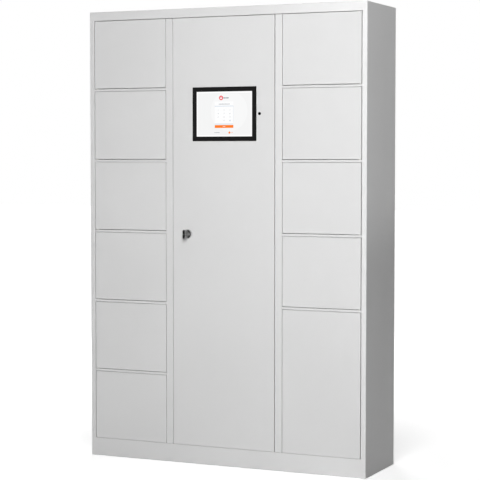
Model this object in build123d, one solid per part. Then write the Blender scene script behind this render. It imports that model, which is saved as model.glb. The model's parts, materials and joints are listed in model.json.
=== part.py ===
"""Phone locker cabinet: small lockers in two columns, one each side of a service bay with a touch terminal.

Lengths are in millimetres. X runs to the right, Y runs into the cabinet and Z is the height above the floor.
A "depth" is a distance behind the front face of the frame, which lies at Y = FRONT_Y, so what stands out in
front of the doors has a negative depth. The origin is on the floor, below the middle of the whole part.
"""
from math import acos, cos, pi, radians, sin, sqrt, tan
import os

from build123d import *

# Cabinet and the face of its frame
WIDTH = 1290.0
HEIGHT = 1950.0
DEPTH = 350.0
STILE = 21.5                # face of each outer upright
MULLION = 32.0              # face of each inner upright
BAY_OPENING = 478.0         # clear width of the service bay
HEADER = 38.2               # face above the doors
PLINTH = 79.3               # face below the doors
SHELF_STRIP = 10.4          # face of a shelf, between two doors
STRIP_SETBACK = 3.0         # how far that face lies behind the doors
LEFT_ROW_COUNTS = (1, 1, 1, 1, 1, 1)    # how many rows high each door is, from the top
RIGHT_ROW_COUNTS = (1, 1, 1, 1, 2)

# Folded sheet
FRAME_SHEET = 1.5
DOOR_SHEET = 1.2
CORNER_BEND = 4.0           # outside radius of the cabinet's front corners
FRAME_BEND = 2.0            # outside radius of every other fold of the frame
DOOR_BEND = 1.8             # outside radius of a door's front edges
JAMB_DEPTH = 25.5
LIP_DEPTH = 24.0            # front face of the lips that stop the doors
STOP_LIP = 8.0              # how far a shelf's lip hangs into the opening
SIDE_LIP = 10.0             # how far an inner upright's lip reaches into the service bay
REAR_FLANGE = 14.0
FLOOR_FLANGE = 30.0
SHELF_EDGE = 12.0           # turned-down side and rear edges of a shelf
SHELF_EDGE_SETBACK = 40.0   # from the front of the stop lip to a shelf's side edges

# Doors
DOOR_THICK = 20.0
DOOR_RETURN = 13.0          # return behind a door's edges
HINGE_GAP = 3.0
LOCK_GAP = 2.0
WIDE_GAP = 2.2              # under the header, and between a shelf's face and the door above it
NARROW_GAP = 0.9            # over the plinth, and between a shelf's face and the door below it

# Pivot hinges
PIVOT_INSET = 8.0           # from a door's hinge edge to its pivot
PIVOT_DEPTH = 8.0
PIN_RADIUS = 2.5
PIN_REACH = 6.0             # how far a pin enters a door
PIN_HEAD_RADIUS = 4.0
PIN_HEAD = 2.0
PIN_SEAT_CLEARANCE = 0.03
PIN_RUNNING_CLEARANCE = 0.08
WASHER_RADIUS = 5.0
WASHER_CLEARANCE = 0.2      # left between a washer and the door above it

# Door buffers
BUFFER_RADIUS = 2.6
BUFFER_INSET = 42.0         # from the side of a door
BUFFER_CLEARANCE = 0.2

# Locker latches: a round bolt slides out of the inner upright through a window in the door's tongue
BOLT_RADIUS = 4.0
BOLT_TRAVEL = 10.0
BOLT_GUIDED = 16.0          # stays in the case when the bolt is out
BOLT_LENGTH = BOLT_TRAVEL + BOLT_GUIDED
BOLT_DEPTH = 29.0
BOLT_SETBACK = 0.5          # how far a drawn bolt lies behind the wall's face
BOLT_RUNNING_CLEARANCE = 0.06
BOLT_HOLE_CLEARANCE = 0.6
TONGUE_HEIGHT = 40.0
TONGUE_DEPTH = 37.0
TONGUE_CHAMFER = 6.0
WINDOW_CLEARANCE = 0.5
WINDOW_HEIGHT_CLEARANCE = 1.5
LOCK_CASE_FRONT = 12.0
LOCK_CASE_BACK = 72.0
LOCK_CASE_HEIGHT = 44.0
LOCK_CASE_CLEARANCE = 1.0   # from a lock case to the jamb of its upright
LOCK_CASE_EDGE = 1.5
CONNECTOR_WIDTH = 14.0
CONNECTOR_HEIGHT = 9.0
CONNECTOR_LENGTH = 8.0

# Touch terminal in the service door
SCREEN_X = 5.8
SCREEN_Z = 1500.5
SCREEN_WIDTH = 297.2
SCREEN_HEIGHT = 228.4
SCREEN_BEZEL = 19.5
SCREEN_PROUD = 2.0
SCREEN_CORNER = 3.0
SCREEN_EDGE = 0.8
COLLAR_INSET = 7.5          # from the bezel's outline to the collar that enters the door
COLLAR_DEPTH = 4.2
COLLAR_CLEARANCE = 0.3
GLASS_SETBACK = 1.0
GLASS_THICK = 3.0
GLASS_CLEARANCE = 0.15
DISPLAY_THICK = 6.0
HOUSING_OVERLAP = 4.0       # how far the housing reaches past the collar's outline
HOUSING_BACK = 46.0
HOUSING_WALL = 1.5
HOUSING_BEND = 3.0
HOUSING_SLOT_COUNT = 9
HOUSING_SLOT_PITCH = 12.0
HOUSING_SLOT_WIDTH = 4.0
HOUSING_SLOT_LENGTH = 60.0
CLAMP_WIDTH = 18.0
CLAMP_THICK = 2.0
CLAMP_FOOT = 14.0
CLAMP_HOOK = 10.0
CLAMP_INSET = 70.0          # from the screen's centre height to each clamp

# Sensor eye beside the screen
SENSOR_GAP = 14.1           # from the screen's edge to the middle of the eye
SENSOR_RADIUS = 6.5
SENSOR_PROUD = 1.0
SENSOR_BARREL_RADIUS = 5.0
SENSOR_BARREL_LENGTH = 16.0
SENSOR_CLEARANCE = 0.1
SENSOR_NUT_RADIUS = 8.5
SENSOR_NUT_THICK = 3.0

# Turn knob of the service door, with the pinion that drives the two rods
KNOB_INSET = 72.1           # from the edge of the service bay
KNOB_Z = 990.0
KNOB_REACH = 42.0
KNOB_WIDTH = 10.4
KNOB_HEIGHT = 38.0
KNOB_EDGE = 1.8
KNOB_CAP = 2.5
NECK_RADIUS = 6.5
NECK_LENGTH = 10.0
ROSETTE_RADIUS = 20.2
ROSETTE_THICK = 6.0
ROSETTE_CHAMFER = 1.5
KNOB_LIFT = 0.3             # running gap between the rosette and the neck
SHAFT_RADIUS = 5.0
RUNNING_CLEARANCE = 0.06
SHAFT_NUT_RADIUS = 8.5      # over the corners
SHAFT_NUT_THICK = 5.0
KEY_RADIUS = 3.2
KEY_LENGTH = 18.0
KEYWAY_WIDTH = 1.6
KEYWAY_HEIGHT = 5.0
KEYWAY_DEPTH = 5.0

GEAR_MODULE = 1.5
PINION_TEETH = 16
PRESSURE_ANGLE = radians(20)
BACKLASH = 0.3
RACK_ADDENDUM = 1.3
DEDENDUM_RATIO = 1.25
FLANK_STEPS = 4
KNOB_TURN = radians(90)

# Locking rods of the service door
ROD_RADIUS = 4.0
ROD_DEPTH = 12.0
ROD_SETBACK = 0.5           # how far a drawn rod lies inside the door's edge
ROD_HOLE_CLEARANCE = 0.6
RACK_END = 10.0             # rack beyond the mesh at each end of the travel
CASE_WALL = 1.5
CASE_CLEARANCE = 0.4
CASE_END_CLEARANCE = 2.5
CASE_EDGE = 2.0
GUIDE_WIDTH = 18.0
GUIDE_HEIGHT = 15.0
GUIDE_END_INSET = 50.0      # from a door's end to its outer rod guide
GUIDE_INNER_INSET = 330.0   # from the knob to each inner rod guide
KEEPER_WIDTH = 24.0
KEEPER_FRONT = 2.0
KEEPER_BACK = 22.0
KEEPER_HEIGHT = 12.0

# Service bay
PLATE_WIDTH = 360.0
PLATE_LOW = 560.0
PLATE_HIGH = 1160.0
PLATE_STANDOFF = 30.0
PLATE_FOOT = 16.0
SUPPLY_WIDTH = 160.0
SUPPLY_HEIGHT = 98.0
SUPPLY_THICK = 42.0
SUPPLY_Z = 660.0
SUPPLY_SLOT_COUNT = 7
SUPPLY_SLOT_PITCH = 14.0
SUPPLY_SLOT_WIDTH = 5.0
SUPPLY_SLOT_HEIGHT = 60.0
SUPPLY_SLOT_DEPTH = 1.5
SUPPLY_EDGE = 2.0
BOARD_WIDTH = 220.0
BOARD_HEIGHT = 140.0
BOARD_Z = 930.0
BOARD_THICK = 1.6
BOARD_POST = 10.0
BOARD_POST_RADIUS = 3.0
BOARD_POST_INSET = 8.0
BOARD_HOLE_RADIUS = 1.6
RELAY_SIZE = 15.0
RELAY_HEIGHT = 12.0
RELAY_EDGE = 0.6

# Back panel: mains inlet, air slots and wall anchors
INLET_X = 150.0
INLET_Z = 190.0
INLET_WIDTH = 27.0
INLET_HEIGHT = 20.0
INLET_DEPTH = 24.0
INLET_FLANGE = 11.0
INLET_FLANGE_THICK = 2.0
INLET_WALL = 1.6
INLET_FLOOR = 6.0
INLET_CLEARANCE = 0.3
INLET_SETBACK = 0.5
BLADE_LENGTH = 14.0
BLADE_THICK = 2.0
BLADE_WIDTH = 4.0
BLADE_PITCH = 7.0
BLADE_RISE = 3.0            # how far the middle blade stands above the inlet's centre, and the others below
BLADE_TIP = 0.5
VENT_COUNT = 10
VENT_PITCH = 14.0
VENT_WIDTH = 80.0
VENT_HEIGHT = 4.0
VENT_X = 70.0
VENT_LOW = 300.0            # middle of the lower bank of slots
VENT_DROP = 260.0           # from the cabinet's top to the middle of the upper bank
ANCHOR_INSET = 125.0        # from each side of the cabinet
ANCHOR_DROP = 100.0         # from its top
ANCHOR_RADIUS = 4.5

# Places that follow from the sizes above
FRONT_Y = (KNOB_REACH - DEPTH) / 2
SIDE_X = WIDTH / 2
JAMB_X = SIDE_X - STILE
BAY_X = BAY_OPENING / 2                     # bay side of an inner upright
WALL_X = BAY_X + MULLION                    # locker side of an inner upright
OPENING_TOP = HEIGHT - HEADER
REAR = DEPTH - FRAME_SHEET                  # inner face of the back panel
INNER_REAR = REAR - FRAME_BEND              # clear of the rear flanges and the folds that they start from
LIP_BACK = LIP_DEPTH + FRAME_SHEET
ROW_PITCH = (OPENING_TOP - PLINTH + SHELF_STRIP) / sum(LEFT_ROW_COUNTS)
PIVOT_X = JAMB_X - HINGE_GAP - PIVOT_INSET
SERVICE_PIVOT_X = BAY_X - HINGE_GAP - PIVOT_INSET
SERVICE_LOW = PLINTH + NARROW_GAP
SERVICE_TOP = OPENING_TOP - WIDE_GAP
KNOB_X = KNOB_INSET - BAY_X
SENSOR_X = SCREEN_X + SCREEN_WIDTH / 2 + SENSOR_GAP
ANCHOR_X = SIDE_X - ANCHOR_INSET
PITCH_RADIUS = GEAR_MODULE * PINION_TEETH / 2
DEDENDUM = DEDENDUM_RATIO * GEAR_MODULE
ROD_TRAVEL = PITCH_RADIUS * KNOB_TURN
ROD_OFFSET = PITCH_RADIUS + DEDENDUM + ROD_RADIUS       # from the knob's axis to each rod's
CASE_HALF_WIDTH = ROD_OFFSET + ROD_RADIUS + CASE_CLEARANCE + CASE_WALL
CASE_HALF_HEIGHT = ROD_TRAVEL + RACK_END + CASE_END_CLEARANCE + CASE_WALL


# ---- Shapes that are used again and again --------------------------------------------------------------

def block(x0, x1, depth0, depth1, z0, z1):
    """Box between two X planes, two depths and two heights."""
    middle = Pos((x0 + x1) / 2, FRONT_Y + (depth0 + depth1) / 2, (z0 + z1) / 2)
    return middle * Box(abs(x1 - x0), abs(depth1 - depth0), abs(z1 - z0))


def bar_x(x0, x1, depth, z, radius):
    """Round bar along X."""
    return Pos((x0 + x1) / 2, FRONT_Y + depth, z) * Rot(0, 90, 0) * Cylinder(radius, abs(x1 - x0))


def bar_y(x, depth0, depth1, z, radius):
    """Round bar along Y."""
    middle = Pos(x, FRONT_Y + (depth0 + depth1) / 2, z)
    return middle * Rot(90, 0, 0) * Cylinder(radius, abs(depth1 - depth0))


def bar_z(x, depth, z0, z1, radius):
    """Round bar along Z."""
    return Pos(x, FRONT_Y + depth, (z0 + z1) / 2) * Cylinder(radius, abs(z1 - z0))


def pulled(section, direction, length):
    """Straight solid on a flat section, which is first turned to look along the direction of the pull."""
    face = section.face()
    if face.normal_at().dot(Vector(*direction)) < 0:
        face = -face
    return extrude(face, length, dir=direction)


def rounded_outline(points, radii):
    """Closed outline whose right-angled corners are rounded. A corner with a radius of 0 stays sharp."""
    corners = [Vector(*point) for point in points]
    edges = []
    for i, (corner, radius) in enumerate(zip(corners, radii)):
        into = (corner - corners[i - 1]).normalized()
        following = corners[(i + 1) % len(corners)]
        out = (following - corner).normalized()
        end = corner + out * radius
        if radius:
            middle = corner + (out - into) * (radius * (1 - sqrt(0.5)))
            edges.append(ThreePointArc(corner - into * radius, middle, end))
        next_radius = radii[(i + 1) % len(corners)]
        edges.append(Line(end, following - out * next_radius))
    return make_face(edges)


def sheet_face(path, bends, thickness):
    """Section of a sheet folded at right angles.

    The path is one face of the sheet, with the metal on its left, and each of its inner points is a fold
    with the outside radius given in bends.
    """
    corners = [Vector(*point) for point in path]
    steps = [(end - start).normalized() for start, end in zip(corners, corners[1:])]
    across = [Vector(-step.Y, step.X) * thickness for step in steps]
    far_side = [corners[0] + across[0]]
    near_radii = [0]
    far_radii = [0]
    for i, bend in enumerate(bends):
        far_side.append(corners[i + 1] + across[i] + across[i + 1])
        turns_left = steps[i].cross(steps[i + 1]).Z > 0
        near_radii.append(bend if turns_left else bend - thickness)
        far_radii.append(bend - thickness if turns_left else bend)
    far_side.append(corners[-1] + across[-1])
    return rounded_outline(corners + far_side[::-1], near_radii + [0, 0] + far_radii[::-1])


def folded_upright(path, bends, z0, z1):
    """Folded sheet of constant section along Z. Its path is given as (x, depth)."""
    section = sheet_face([(x, FRONT_Y + depth) for x, depth in path], bends, FRAME_SHEET)
    return pulled(Pos(0, 0, z0) * section, (0, 0, 1), z1 - z0)


def folded_rail(path, bends, x0, x1):
    """Folded sheet of constant section along X. Its path is given as (depth, z)."""
    section = sheet_face([(FRONT_Y + depth, z) for depth, z in path], bends, FRAME_SHEET)
    return pulled(Pos(x0, 0, 0) * (Plane.YZ * section), (1, 0, 0), x1 - x0)


def plate(points, depth0, depth1):
    """Plate cut to an outline of (x, z) points, between two depths."""
    outline = make_face(Polyline(*points, close=True))
    return pulled(Pos(0, FRONT_Y + depth0, 0) * (Plane.XZ * outline), (0, 1, 0), depth1 - depth0)


def front_edges(shape):
    """Edges round the face of a shape that looks forward."""
    return shape.faces().sort_by(Axis.Y)[0].edges()


def mirrored(shape):
    """The same piece on the other side of the cabinet."""
    return mirror(shape, about=Plane.YZ)


def save(name, *shapes):
    """Write the solids of one named piece."""
    solids = [solid for shape in shapes for solid in shape.solids()]
    export_step(solids[0] if len(solids) == 1 else Compound(solids), f"parts/{name}.step")


# ---- Layout ------------------------------------------------------------------------------------------

def openings(spans):
    """Lower and upper edge of each opening of a locker column, from the top."""
    edges = []
    top = OPENING_TOP
    for rows in spans:
        low = top - rows * ROW_PITCH + SHELF_STRIP
        edges.append((low, top))
        top = low - SHELF_STRIP
    return edges


def gap_under(low):
    """Gap under a door whose opening starts at a height."""
    return NARROW_GAP if low <= PLINTH + NARROW_GAP else WIDE_GAP


def gap_over(top):
    """Gap over a door whose opening ends at a height."""
    return WIDE_GAP if top == OPENING_TOP else NARROW_GAP


LEFT_OPENINGS = openings(LEFT_ROW_COUNTS)
RIGHT_OPENINGS = openings(RIGHT_ROW_COUNTS)


# ---- Carcass -----------------------------------------------------------------------------------------

def side_panel():
    """Left side: the side plate, folded round into the front upright, its jamb and its flanges."""
    path = [(-SIDE_X + REAR_FLANGE, REAR), (-SIDE_X, REAR), (-SIDE_X, 0), (-JAMB_X, 0), (-JAMB_X, JAMB_DEPTH),
            (-SIDE_X + CORNER_BEND, JAMB_DEPTH)]
    inner = -SIDE_X + FRAME_SHEET
    panel = folded_upright(path, (FRAME_BEND, CORNER_BEND, FRAME_BEND, FRAME_BEND), 0, HEIGHT)
    panel -= block(inner, 0, FRAME_SHEET, REAR, HEIGHT - FRAME_SHEET, HEIGHT)
    for z0, z1 in ((0, PLINTH - FRAME_BEND), (OPENING_TOP + FRAME_BEND, HEIGHT)):
        panel += block(-JAMB_X - FRAME_BEND, -JAMB_X, 0, FRAME_SHEET, z0, z1)
    panel += block(inner, -SIDE_X + FLOOR_FLANGE, JAMB_DEPTH + FRAME_SHEET, INNER_REAR, 0, FRAME_SHEET)
    return panel


def pivot_holes(low, high, radius):
    """Tools for the holes of all five pivot lines between two heights."""
    return [bar_z(x, PIVOT_DEPTH, low, high, radius) for x in (-PIVOT_X, PIVOT_X, SERVICE_PIVOT_X)]


def top_panel():
    """Top plate with the header face, its return and a stop lip that is cut away at the inner uprights."""
    path = [(REAR, HEIGHT - REAR_FLANGE), (REAR, HEIGHT), (0, HEIGHT), (0, OPENING_TOP),
            (LIP_DEPTH, OPENING_TOP), (LIP_DEPTH, OPENING_TOP - STOP_LIP)]
    panel = folded_rail(path, (FRAME_BEND,) * 4, -JAMB_X, JAMB_X)
    for side in (-1, 1):
        panel += block(side * JAMB_X, side * (SIDE_X - FRAME_SHEET), FRAME_SHEET, REAR,
                       HEIGHT - FRAME_SHEET, HEIGHT)
        panel -= block(side * (BAY_X - SIDE_LIP), side * WALL_X, LIP_DEPTH - FRAME_SHEET, LIP_BACK,
                       OPENING_TOP - STOP_LIP, OPENING_TOP)
    for hole in pivot_holes(OPENING_TOP, OPENING_TOP + FRAME_SHEET, PIN_RADIUS + PIN_SEAT_CLEARANCE):
        panel -= hole
    panel -= bar_z(KNOB_X - ROD_OFFSET, ROD_DEPTH, OPENING_TOP, OPENING_TOP + FRAME_SHEET,
                   ROD_RADIUS + ROD_HOLE_CLEARANCE)
    return panel


def base_panel():
    """Cabinet floor with the plinth face and the flange that stands on the ground."""
    path = [(REAR, PLINTH - REAR_FLANGE), (REAR, PLINTH), (0, PLINTH), (0, 0), (JAMB_DEPTH, 0)]
    panel = folded_rail(path, (FRAME_BEND,) * 3, -JAMB_X, JAMB_X)
    for side in (-1, 1):
        panel += block(side * JAMB_X, side * (SIDE_X - FRAME_SHEET), JAMB_DEPTH, INNER_REAR,
                       PLINTH - FRAME_SHEET, PLINTH)
    for hole in pivot_holes(PLINTH - FRAME_SHEET, PLINTH, PIN_RADIUS + PIN_SEAT_CLEARANCE):
        panel -= hole
    panel -= bar_z(KNOB_X + ROD_OFFSET, ROD_DEPTH, PLINTH - FRAME_SHEET, PLINTH,
                   ROD_RADIUS + ROD_HOLE_CLEARANCE)
    return panel


def back_panel():
    """Flat back with the wall anchor holes, two banks of air slots and the cutout for the mains inlet."""
    panel = block(-SIDE_X, SIDE_X, REAR, DEPTH, 0, HEIGHT)
    for side in (-1, 1):
        panel -= bar_y(side * ANCHOR_X, REAR, DEPTH, HEIGHT - ANCHOR_DROP, ANCHOR_RADIUS)
        for bank_z in (VENT_LOW, HEIGHT - VENT_DROP):
            for i in range(VENT_COUNT):
                z = bank_z + (i - (VENT_COUNT - 1) / 2) * VENT_PITCH
                slot = SlotOverall(VENT_WIDTH, VENT_HEIGHT)
                slot_place = Pos(side * VENT_X, FRONT_Y + REAR, z)
                panel -= pulled(slot_place * (Plane.XZ * slot), (0, 1, 0), FRAME_SHEET)
    half_width = INLET_WIDTH / 2 + INLET_CLEARANCE
    half_height = INLET_HEIGHT / 2 + INLET_CLEARANCE
    return panel - block(INLET_X - half_width, INLET_X + half_width, REAR, DEPTH,
                         INLET_Z - half_height, INLET_Z + half_height)


def partition(edges):
    """Left inner upright: locker wall, face, bay-side jamb and stop lip, with a hole for each lock bolt.

    The face stops short of the header and the plinth by the gap that the doors have there.
    """
    path = [(-WALL_X + REAR_FLANGE, REAR), (-WALL_X, REAR), (-WALL_X, 0), (-BAY_X, 0), (-BAY_X, LIP_DEPTH),
            (-BAY_X + SIDE_LIP, LIP_DEPTH)]
    wall = folded_upright(path, (FRAME_BEND,) * 4, PLINTH, OPENING_TOP)
    for z0, z1 in ((PLINTH, SERVICE_LOW), (SERVICE_TOP, OPENING_TOP)):
        wall -= block(-WALL_X, -BAY_X + SIDE_LIP, 0, LIP_BACK, z0, z1)
    wall += block(-WALL_X, -WALL_X + FRAME_SHEET, LIP_BACK, INNER_REAR,
                  OPENING_TOP, HEIGHT - FRAME_SHEET)
    for low, top in edges:
        wall -= bar_x(-WALL_X, -WALL_X + FRAME_SHEET, BOLT_DEPTH, (low + top) / 2,
                      BOLT_RADIUS + BOLT_HOLE_CLEARANCE)
    return wall


def shelf(low):
    """Shelf of the left column. Its front is the strip between two doors, with the stop lip hung below."""
    top = low + SHELF_STRIP
    path = [(INNER_REAR, top - SHELF_EDGE), (INNER_REAR, top), (STRIP_SETBACK, top), (STRIP_SETBACK, low),
            (LIP_DEPTH, low), (LIP_DEPTH, low - STOP_LIP)]
    board = folded_rail(path, (FRAME_BEND,) * 4, -JAMB_X, -WALL_X)
    inner = -SIDE_X + FRAME_SHEET
    board += block(inner, -JAMB_X, JAMB_DEPTH, INNER_REAR, top - FRAME_SHEET, top)
    for x in (inner, -WALL_X - FRAME_SHEET):
        board += block(x, x + FRAME_SHEET, LIP_DEPTH + SHELF_EDGE_SETBACK, INNER_REAR - SHELF_EDGE,
                       top - SHELF_EDGE, top)
    return board - bar_z(-PIVOT_X, PIVOT_DEPTH, low, top, PIN_RADIUS + PIN_SEAT_CLEARANCE)


# ---- Hinges and buffers ------------------------------------------------------------------------------

def header_pin(x):
    """Pivot pin that hangs from the header by its head."""
    seat = OPENING_TOP + FRAME_SHEET
    pin = bar_z(x, PIVOT_DEPTH, SERVICE_TOP - PIN_REACH, seat + PIN_HEAD, PIN_RADIUS)
    return pin + bar_z(x, PIVOT_DEPTH, seat, seat + PIN_HEAD, PIN_HEAD_RADIUS)


def floor_pin(x):
    """Pivot pin that stands in the cabinet's floor, with its head below."""
    seat = PLINTH - FRAME_SHEET
    pin = bar_z(x, PIVOT_DEPTH, seat - PIN_HEAD, SERVICE_LOW + PIN_REACH, PIN_RADIUS)
    return pin + bar_z(x, PIVOT_DEPTH, seat - PIN_HEAD, seat, PIN_HEAD_RADIUS)


def shelf_pin(x, low):
    """Pivot pin through a shelf's front, which serves the door above and the door below."""
    return bar_z(x, PIVOT_DEPTH, low - NARROW_GAP - PIN_REACH, low + SHELF_STRIP + WIDE_GAP + PIN_REACH,
                 PIN_RADIUS)


def washer(x, z):
    """Thrust washer that carries a door on its lower pivot."""
    ring = bar_z(x, PIVOT_DEPTH, z, z + gap_under(z) - WASHER_CLEARANCE, WASHER_RADIUS)
    return ring - bar_z(x, PIVOT_DEPTH, z, z + gap_under(z), PIN_RADIUS + PIN_RUNNING_CLEARANCE)


def buffers(x0, x1, top):
    """Two rubber buffers on the stop lip at the top of an opening."""
    z = top - (STOP_LIP + gap_over(top)) / 2
    return [bar_y(x, DOOR_THICK + BUFFER_CLEARANCE, LIP_DEPTH, z, BUFFER_RADIUS)
            for x in (x0 + BUFFER_INSET, x1 - BUFFER_INSET)]


# ---- Locker doors and their latches ------------------------------------------------------------------

def door_tray(x0, x1, z0, z1):
    """Door leaf: a face with four folded edges and a narrow return behind them."""
    tray = block(x0, x1, 0, DOOR_THICK, z0, z1)
    tray = fillet(front_edges(tray), DOOR_BEND)
    inside = block(x0 + DOOR_SHEET, x1 - DOOR_SHEET, DOOR_SHEET, DOOR_THICK - DOOR_SHEET,
                   z0 + DOOR_SHEET, z1 - DOOR_SHEET)
    if DOOR_BEND > DOOR_SHEET:
        inside = fillet(front_edges(inside), DOOR_BEND - DOOR_SHEET)
    mouth = block(x0 + DOOR_RETURN, x1 - DOOR_RETURN, DOOR_THICK - DOOR_SHEET, DOOR_THICK,
                  z0 + DOOR_RETURN, z1 - DOOR_RETURN)
    return tray - inside - mouth


def locker_door(low, top):
    """Left-column door, hung at its left edge, with the slotted latch tongue behind its right edge."""
    x0 = -JAMB_X + HINGE_GAP
    x1 = -WALL_X - LOCK_GAP
    z0 = low + gap_under(low)
    z1 = top - gap_over(top)
    z = (low + top) / 2
    door = door_tray(x0, x1, z0, z1)
    tongue = block(x1 - DOOR_SHEET, x1, DOOR_THICK - DOOR_SHEET, TONGUE_DEPTH,
                   z - TONGUE_HEIGHT / 2, z + TONGUE_HEIGHT / 2)
    tongue = chamfer(tongue.edges().filter_by(Axis.X).group_by(Axis.Y)[-1], TONGUE_CHAMFER)
    half_depth = BOLT_RADIUS + WINDOW_CLEARANCE
    half_height = BOLT_RADIUS + WINDOW_HEIGHT_CLEARANCE
    tongue -= block(x1 - DOOR_SHEET, x1, BOLT_DEPTH - half_depth, BOLT_DEPTH + half_depth,
                    z - half_height, z + half_height)
    return door + tongue - bar_z(-PIVOT_X, PIVOT_DEPTH, z0, z1, PIN_RADIUS + PIN_RUNNING_CLEARANCE)


def lock_case(z):
    """Case of a locker latch, fixed to the hidden side of the left inner upright's wall."""
    x0 = -WALL_X + FRAME_SHEET
    x1 = -BAY_X - FRAME_SHEET - LOCK_CASE_CLEARANCE
    half = LOCK_CASE_HEIGHT / 2
    case = block(x0, x1, LOCK_CASE_FRONT, LOCK_CASE_BACK, z - half, z + half)
    case = fillet(case.faces().sort_by(Axis.X)[-1].edges(), LOCK_CASE_EDGE)
    case += block((x0 + x1 - CONNECTOR_WIDTH) / 2, (x0 + x1 + CONNECTOR_WIDTH) / 2,
                  LOCK_CASE_BACK, LOCK_CASE_BACK + CONNECTOR_LENGTH,
                  z - CONNECTOR_HEIGHT / 2, z + CONNECTOR_HEIGHT / 2)
    bore_end = -WALL_X + BOLT_SETBACK + BOLT_LENGTH + LOCK_CASE_CLEARANCE / 2
    return case - bar_x(x0, bore_end, BOLT_DEPTH, z, BOLT_RADIUS + BOLT_RUNNING_CLEARANCE)


def lock_bolt(z):
    """Round bolt of a left-column latch, drawn back behind the wall's face."""
    tip = -WALL_X + BOLT_SETBACK
    bolt = bar_x(tip, tip + BOLT_LENGTH, BOLT_DEPTH, z, BOLT_RADIUS)
    return chamfer(bolt.edges().group_by(Axis.X)[0], BOLT_SETBACK)


# ---- Service door ------------------------------------------------------------------------------------

def service_door():
    """Tall door of the service bay, hung at its right edge, with cutouts for all that it carries."""
    door = door_tray(-BAY_X + LOCK_GAP, BAY_X - HINGE_GAP, SERVICE_LOW, SERVICE_TOP)
    half_width = SCREEN_WIDTH / 2 - COLLAR_INSET + COLLAR_CLEARANCE
    half_height = SCREEN_HEIGHT / 2 - COLLAR_INSET + COLLAR_CLEARANCE
    door -= block(SCREEN_X - half_width, SCREEN_X + half_width, 0, DOOR_SHEET,
                  SCREEN_Z - half_height, SCREEN_Z + half_height)
    door -= bar_y(SENSOR_X, 0, DOOR_SHEET, SCREEN_Z, SENSOR_BARREL_RADIUS + SENSOR_CLEARANCE)
    door -= bar_y(KNOB_X, 0, DOOR_SHEET, KNOB_Z, SHAFT_RADIUS + RUNNING_CLEARANCE)
    door -= bar_z(SERVICE_PIVOT_X, PIVOT_DEPTH, SERVICE_LOW, SERVICE_TOP, PIN_RADIUS + PIN_RUNNING_CLEARANCE)
    rod_hole = ROD_RADIUS + ROD_HOLE_CLEARANCE
    door -= bar_z(KNOB_X - ROD_OFFSET, ROD_DEPTH, SERVICE_TOP - DOOR_SHEET, SERVICE_TOP, rod_hole)
    return door - bar_z(KNOB_X + ROD_OFFSET, ROD_DEPTH, SERVICE_LOW, SERVICE_LOW + DOOR_SHEET, rod_hole)


def screen_block(inset, depth0, depth1):
    """Box as large as the screen's outline less an inset all round."""
    half_width = SCREEN_WIDTH / 2 - inset
    half_height = SCREEN_HEIGHT / 2 - inset
    return block(SCREEN_X - half_width, SCREEN_X + half_width, depth0, depth1,
                 SCREEN_Z - half_height, SCREEN_Z + half_height)


def screen_frame():
    """Bezel that lies on the door, with a collar that enters the cutout."""
    bezel = screen_block(0, -SCREEN_PROUD, 0)
    bezel = fillet(bezel.edges().filter_by(Axis.Y), SCREEN_CORNER)
    bezel = fillet(front_edges(bezel), SCREEN_EDGE)
    bezel += screen_block(COLLAR_INSET, 0, COLLAR_DEPTH)
    return bezel - screen_block(SCREEN_BEZEL, -SCREEN_PROUD, COLLAR_DEPTH)


def touch_glass():
    """Cover glass, set back a little inside the bezel."""
    front = GLASS_SETBACK - SCREEN_PROUD
    return screen_block(SCREEN_BEZEL + GLASS_CLEARANCE, front, front + GLASS_THICK)


def display_panel():
    """Display behind the cover glass."""
    front = GLASS_SETBACK - SCREEN_PROUD + GLASS_THICK
    return screen_block(SCREEN_BEZEL + GLASS_CLEARANCE, front, front + DISPLAY_THICK)


def terminal_housing():
    """Pressed cover over the electronics behind the screen, with a row of air slots."""
    outline = COLLAR_INSET - HOUSING_OVERLAP
    shell = screen_block(outline, COLLAR_DEPTH, HOUSING_BACK)
    shell = fillet(shell.faces().sort_by(Axis.Y)[-1].edges(), HOUSING_BEND)
    shell -= screen_block(outline + HOUSING_WALL, COLLAR_DEPTH, HOUSING_BACK - HOUSING_WALL)
    for i in range(HOUSING_SLOT_COUNT):
        x = SCREEN_X + (i - (HOUSING_SLOT_COUNT - 1) / 2) * HOUSING_SLOT_PITCH
        shell -= block(x - HOUSING_SLOT_WIDTH / 2, x + HOUSING_SLOT_WIDTH / 2, HOUSING_BACK - HOUSING_WALL,
                       HOUSING_BACK, SCREEN_Z - HOUSING_SLOT_LENGTH / 2, SCREEN_Z + HOUSING_SLOT_LENGTH / 2)
    return shell


def terminal_clamp(side, z):
    """Z-shaped clamp: a foot on the door, a web along the housing's side and a hook behind the housing."""
    half_width = SCREEN_WIDTH / 2 - COLLAR_INSET + HOUSING_OVERLAP
    web0 = SCREEN_X + side * half_width
    web1 = web0 + side * CLAMP_THICK
    z0 = z - CLAMP_WIDTH / 2
    z1 = z + CLAMP_WIDTH / 2
    clamp = block(web0, web1, DOOR_SHEET, HOUSING_BACK + CLAMP_THICK, z0, z1)
    clamp += block(web0, web1 + side * CLAMP_FOOT, DOOR_SHEET, DOOR_SHEET + CLAMP_THICK, z0, z1)
    return clamp + block(web0 - side * CLAMP_HOOK, web1, HOUSING_BACK, HOUSING_BACK + CLAMP_THICK, z0, z1)


def sensor_eye():
    """Round dark eye with its barrel through the door."""
    eye = bar_y(SENSOR_X, -SENSOR_PROUD, 0, SCREEN_Z, SENSOR_RADIUS)
    eye = fillet(front_edges(eye), SENSOR_PROUD / 2)
    return eye + bar_y(SENSOR_X, 0, SENSOR_BARREL_LENGTH, SCREEN_Z, SENSOR_BARREL_RADIUS)


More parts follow.
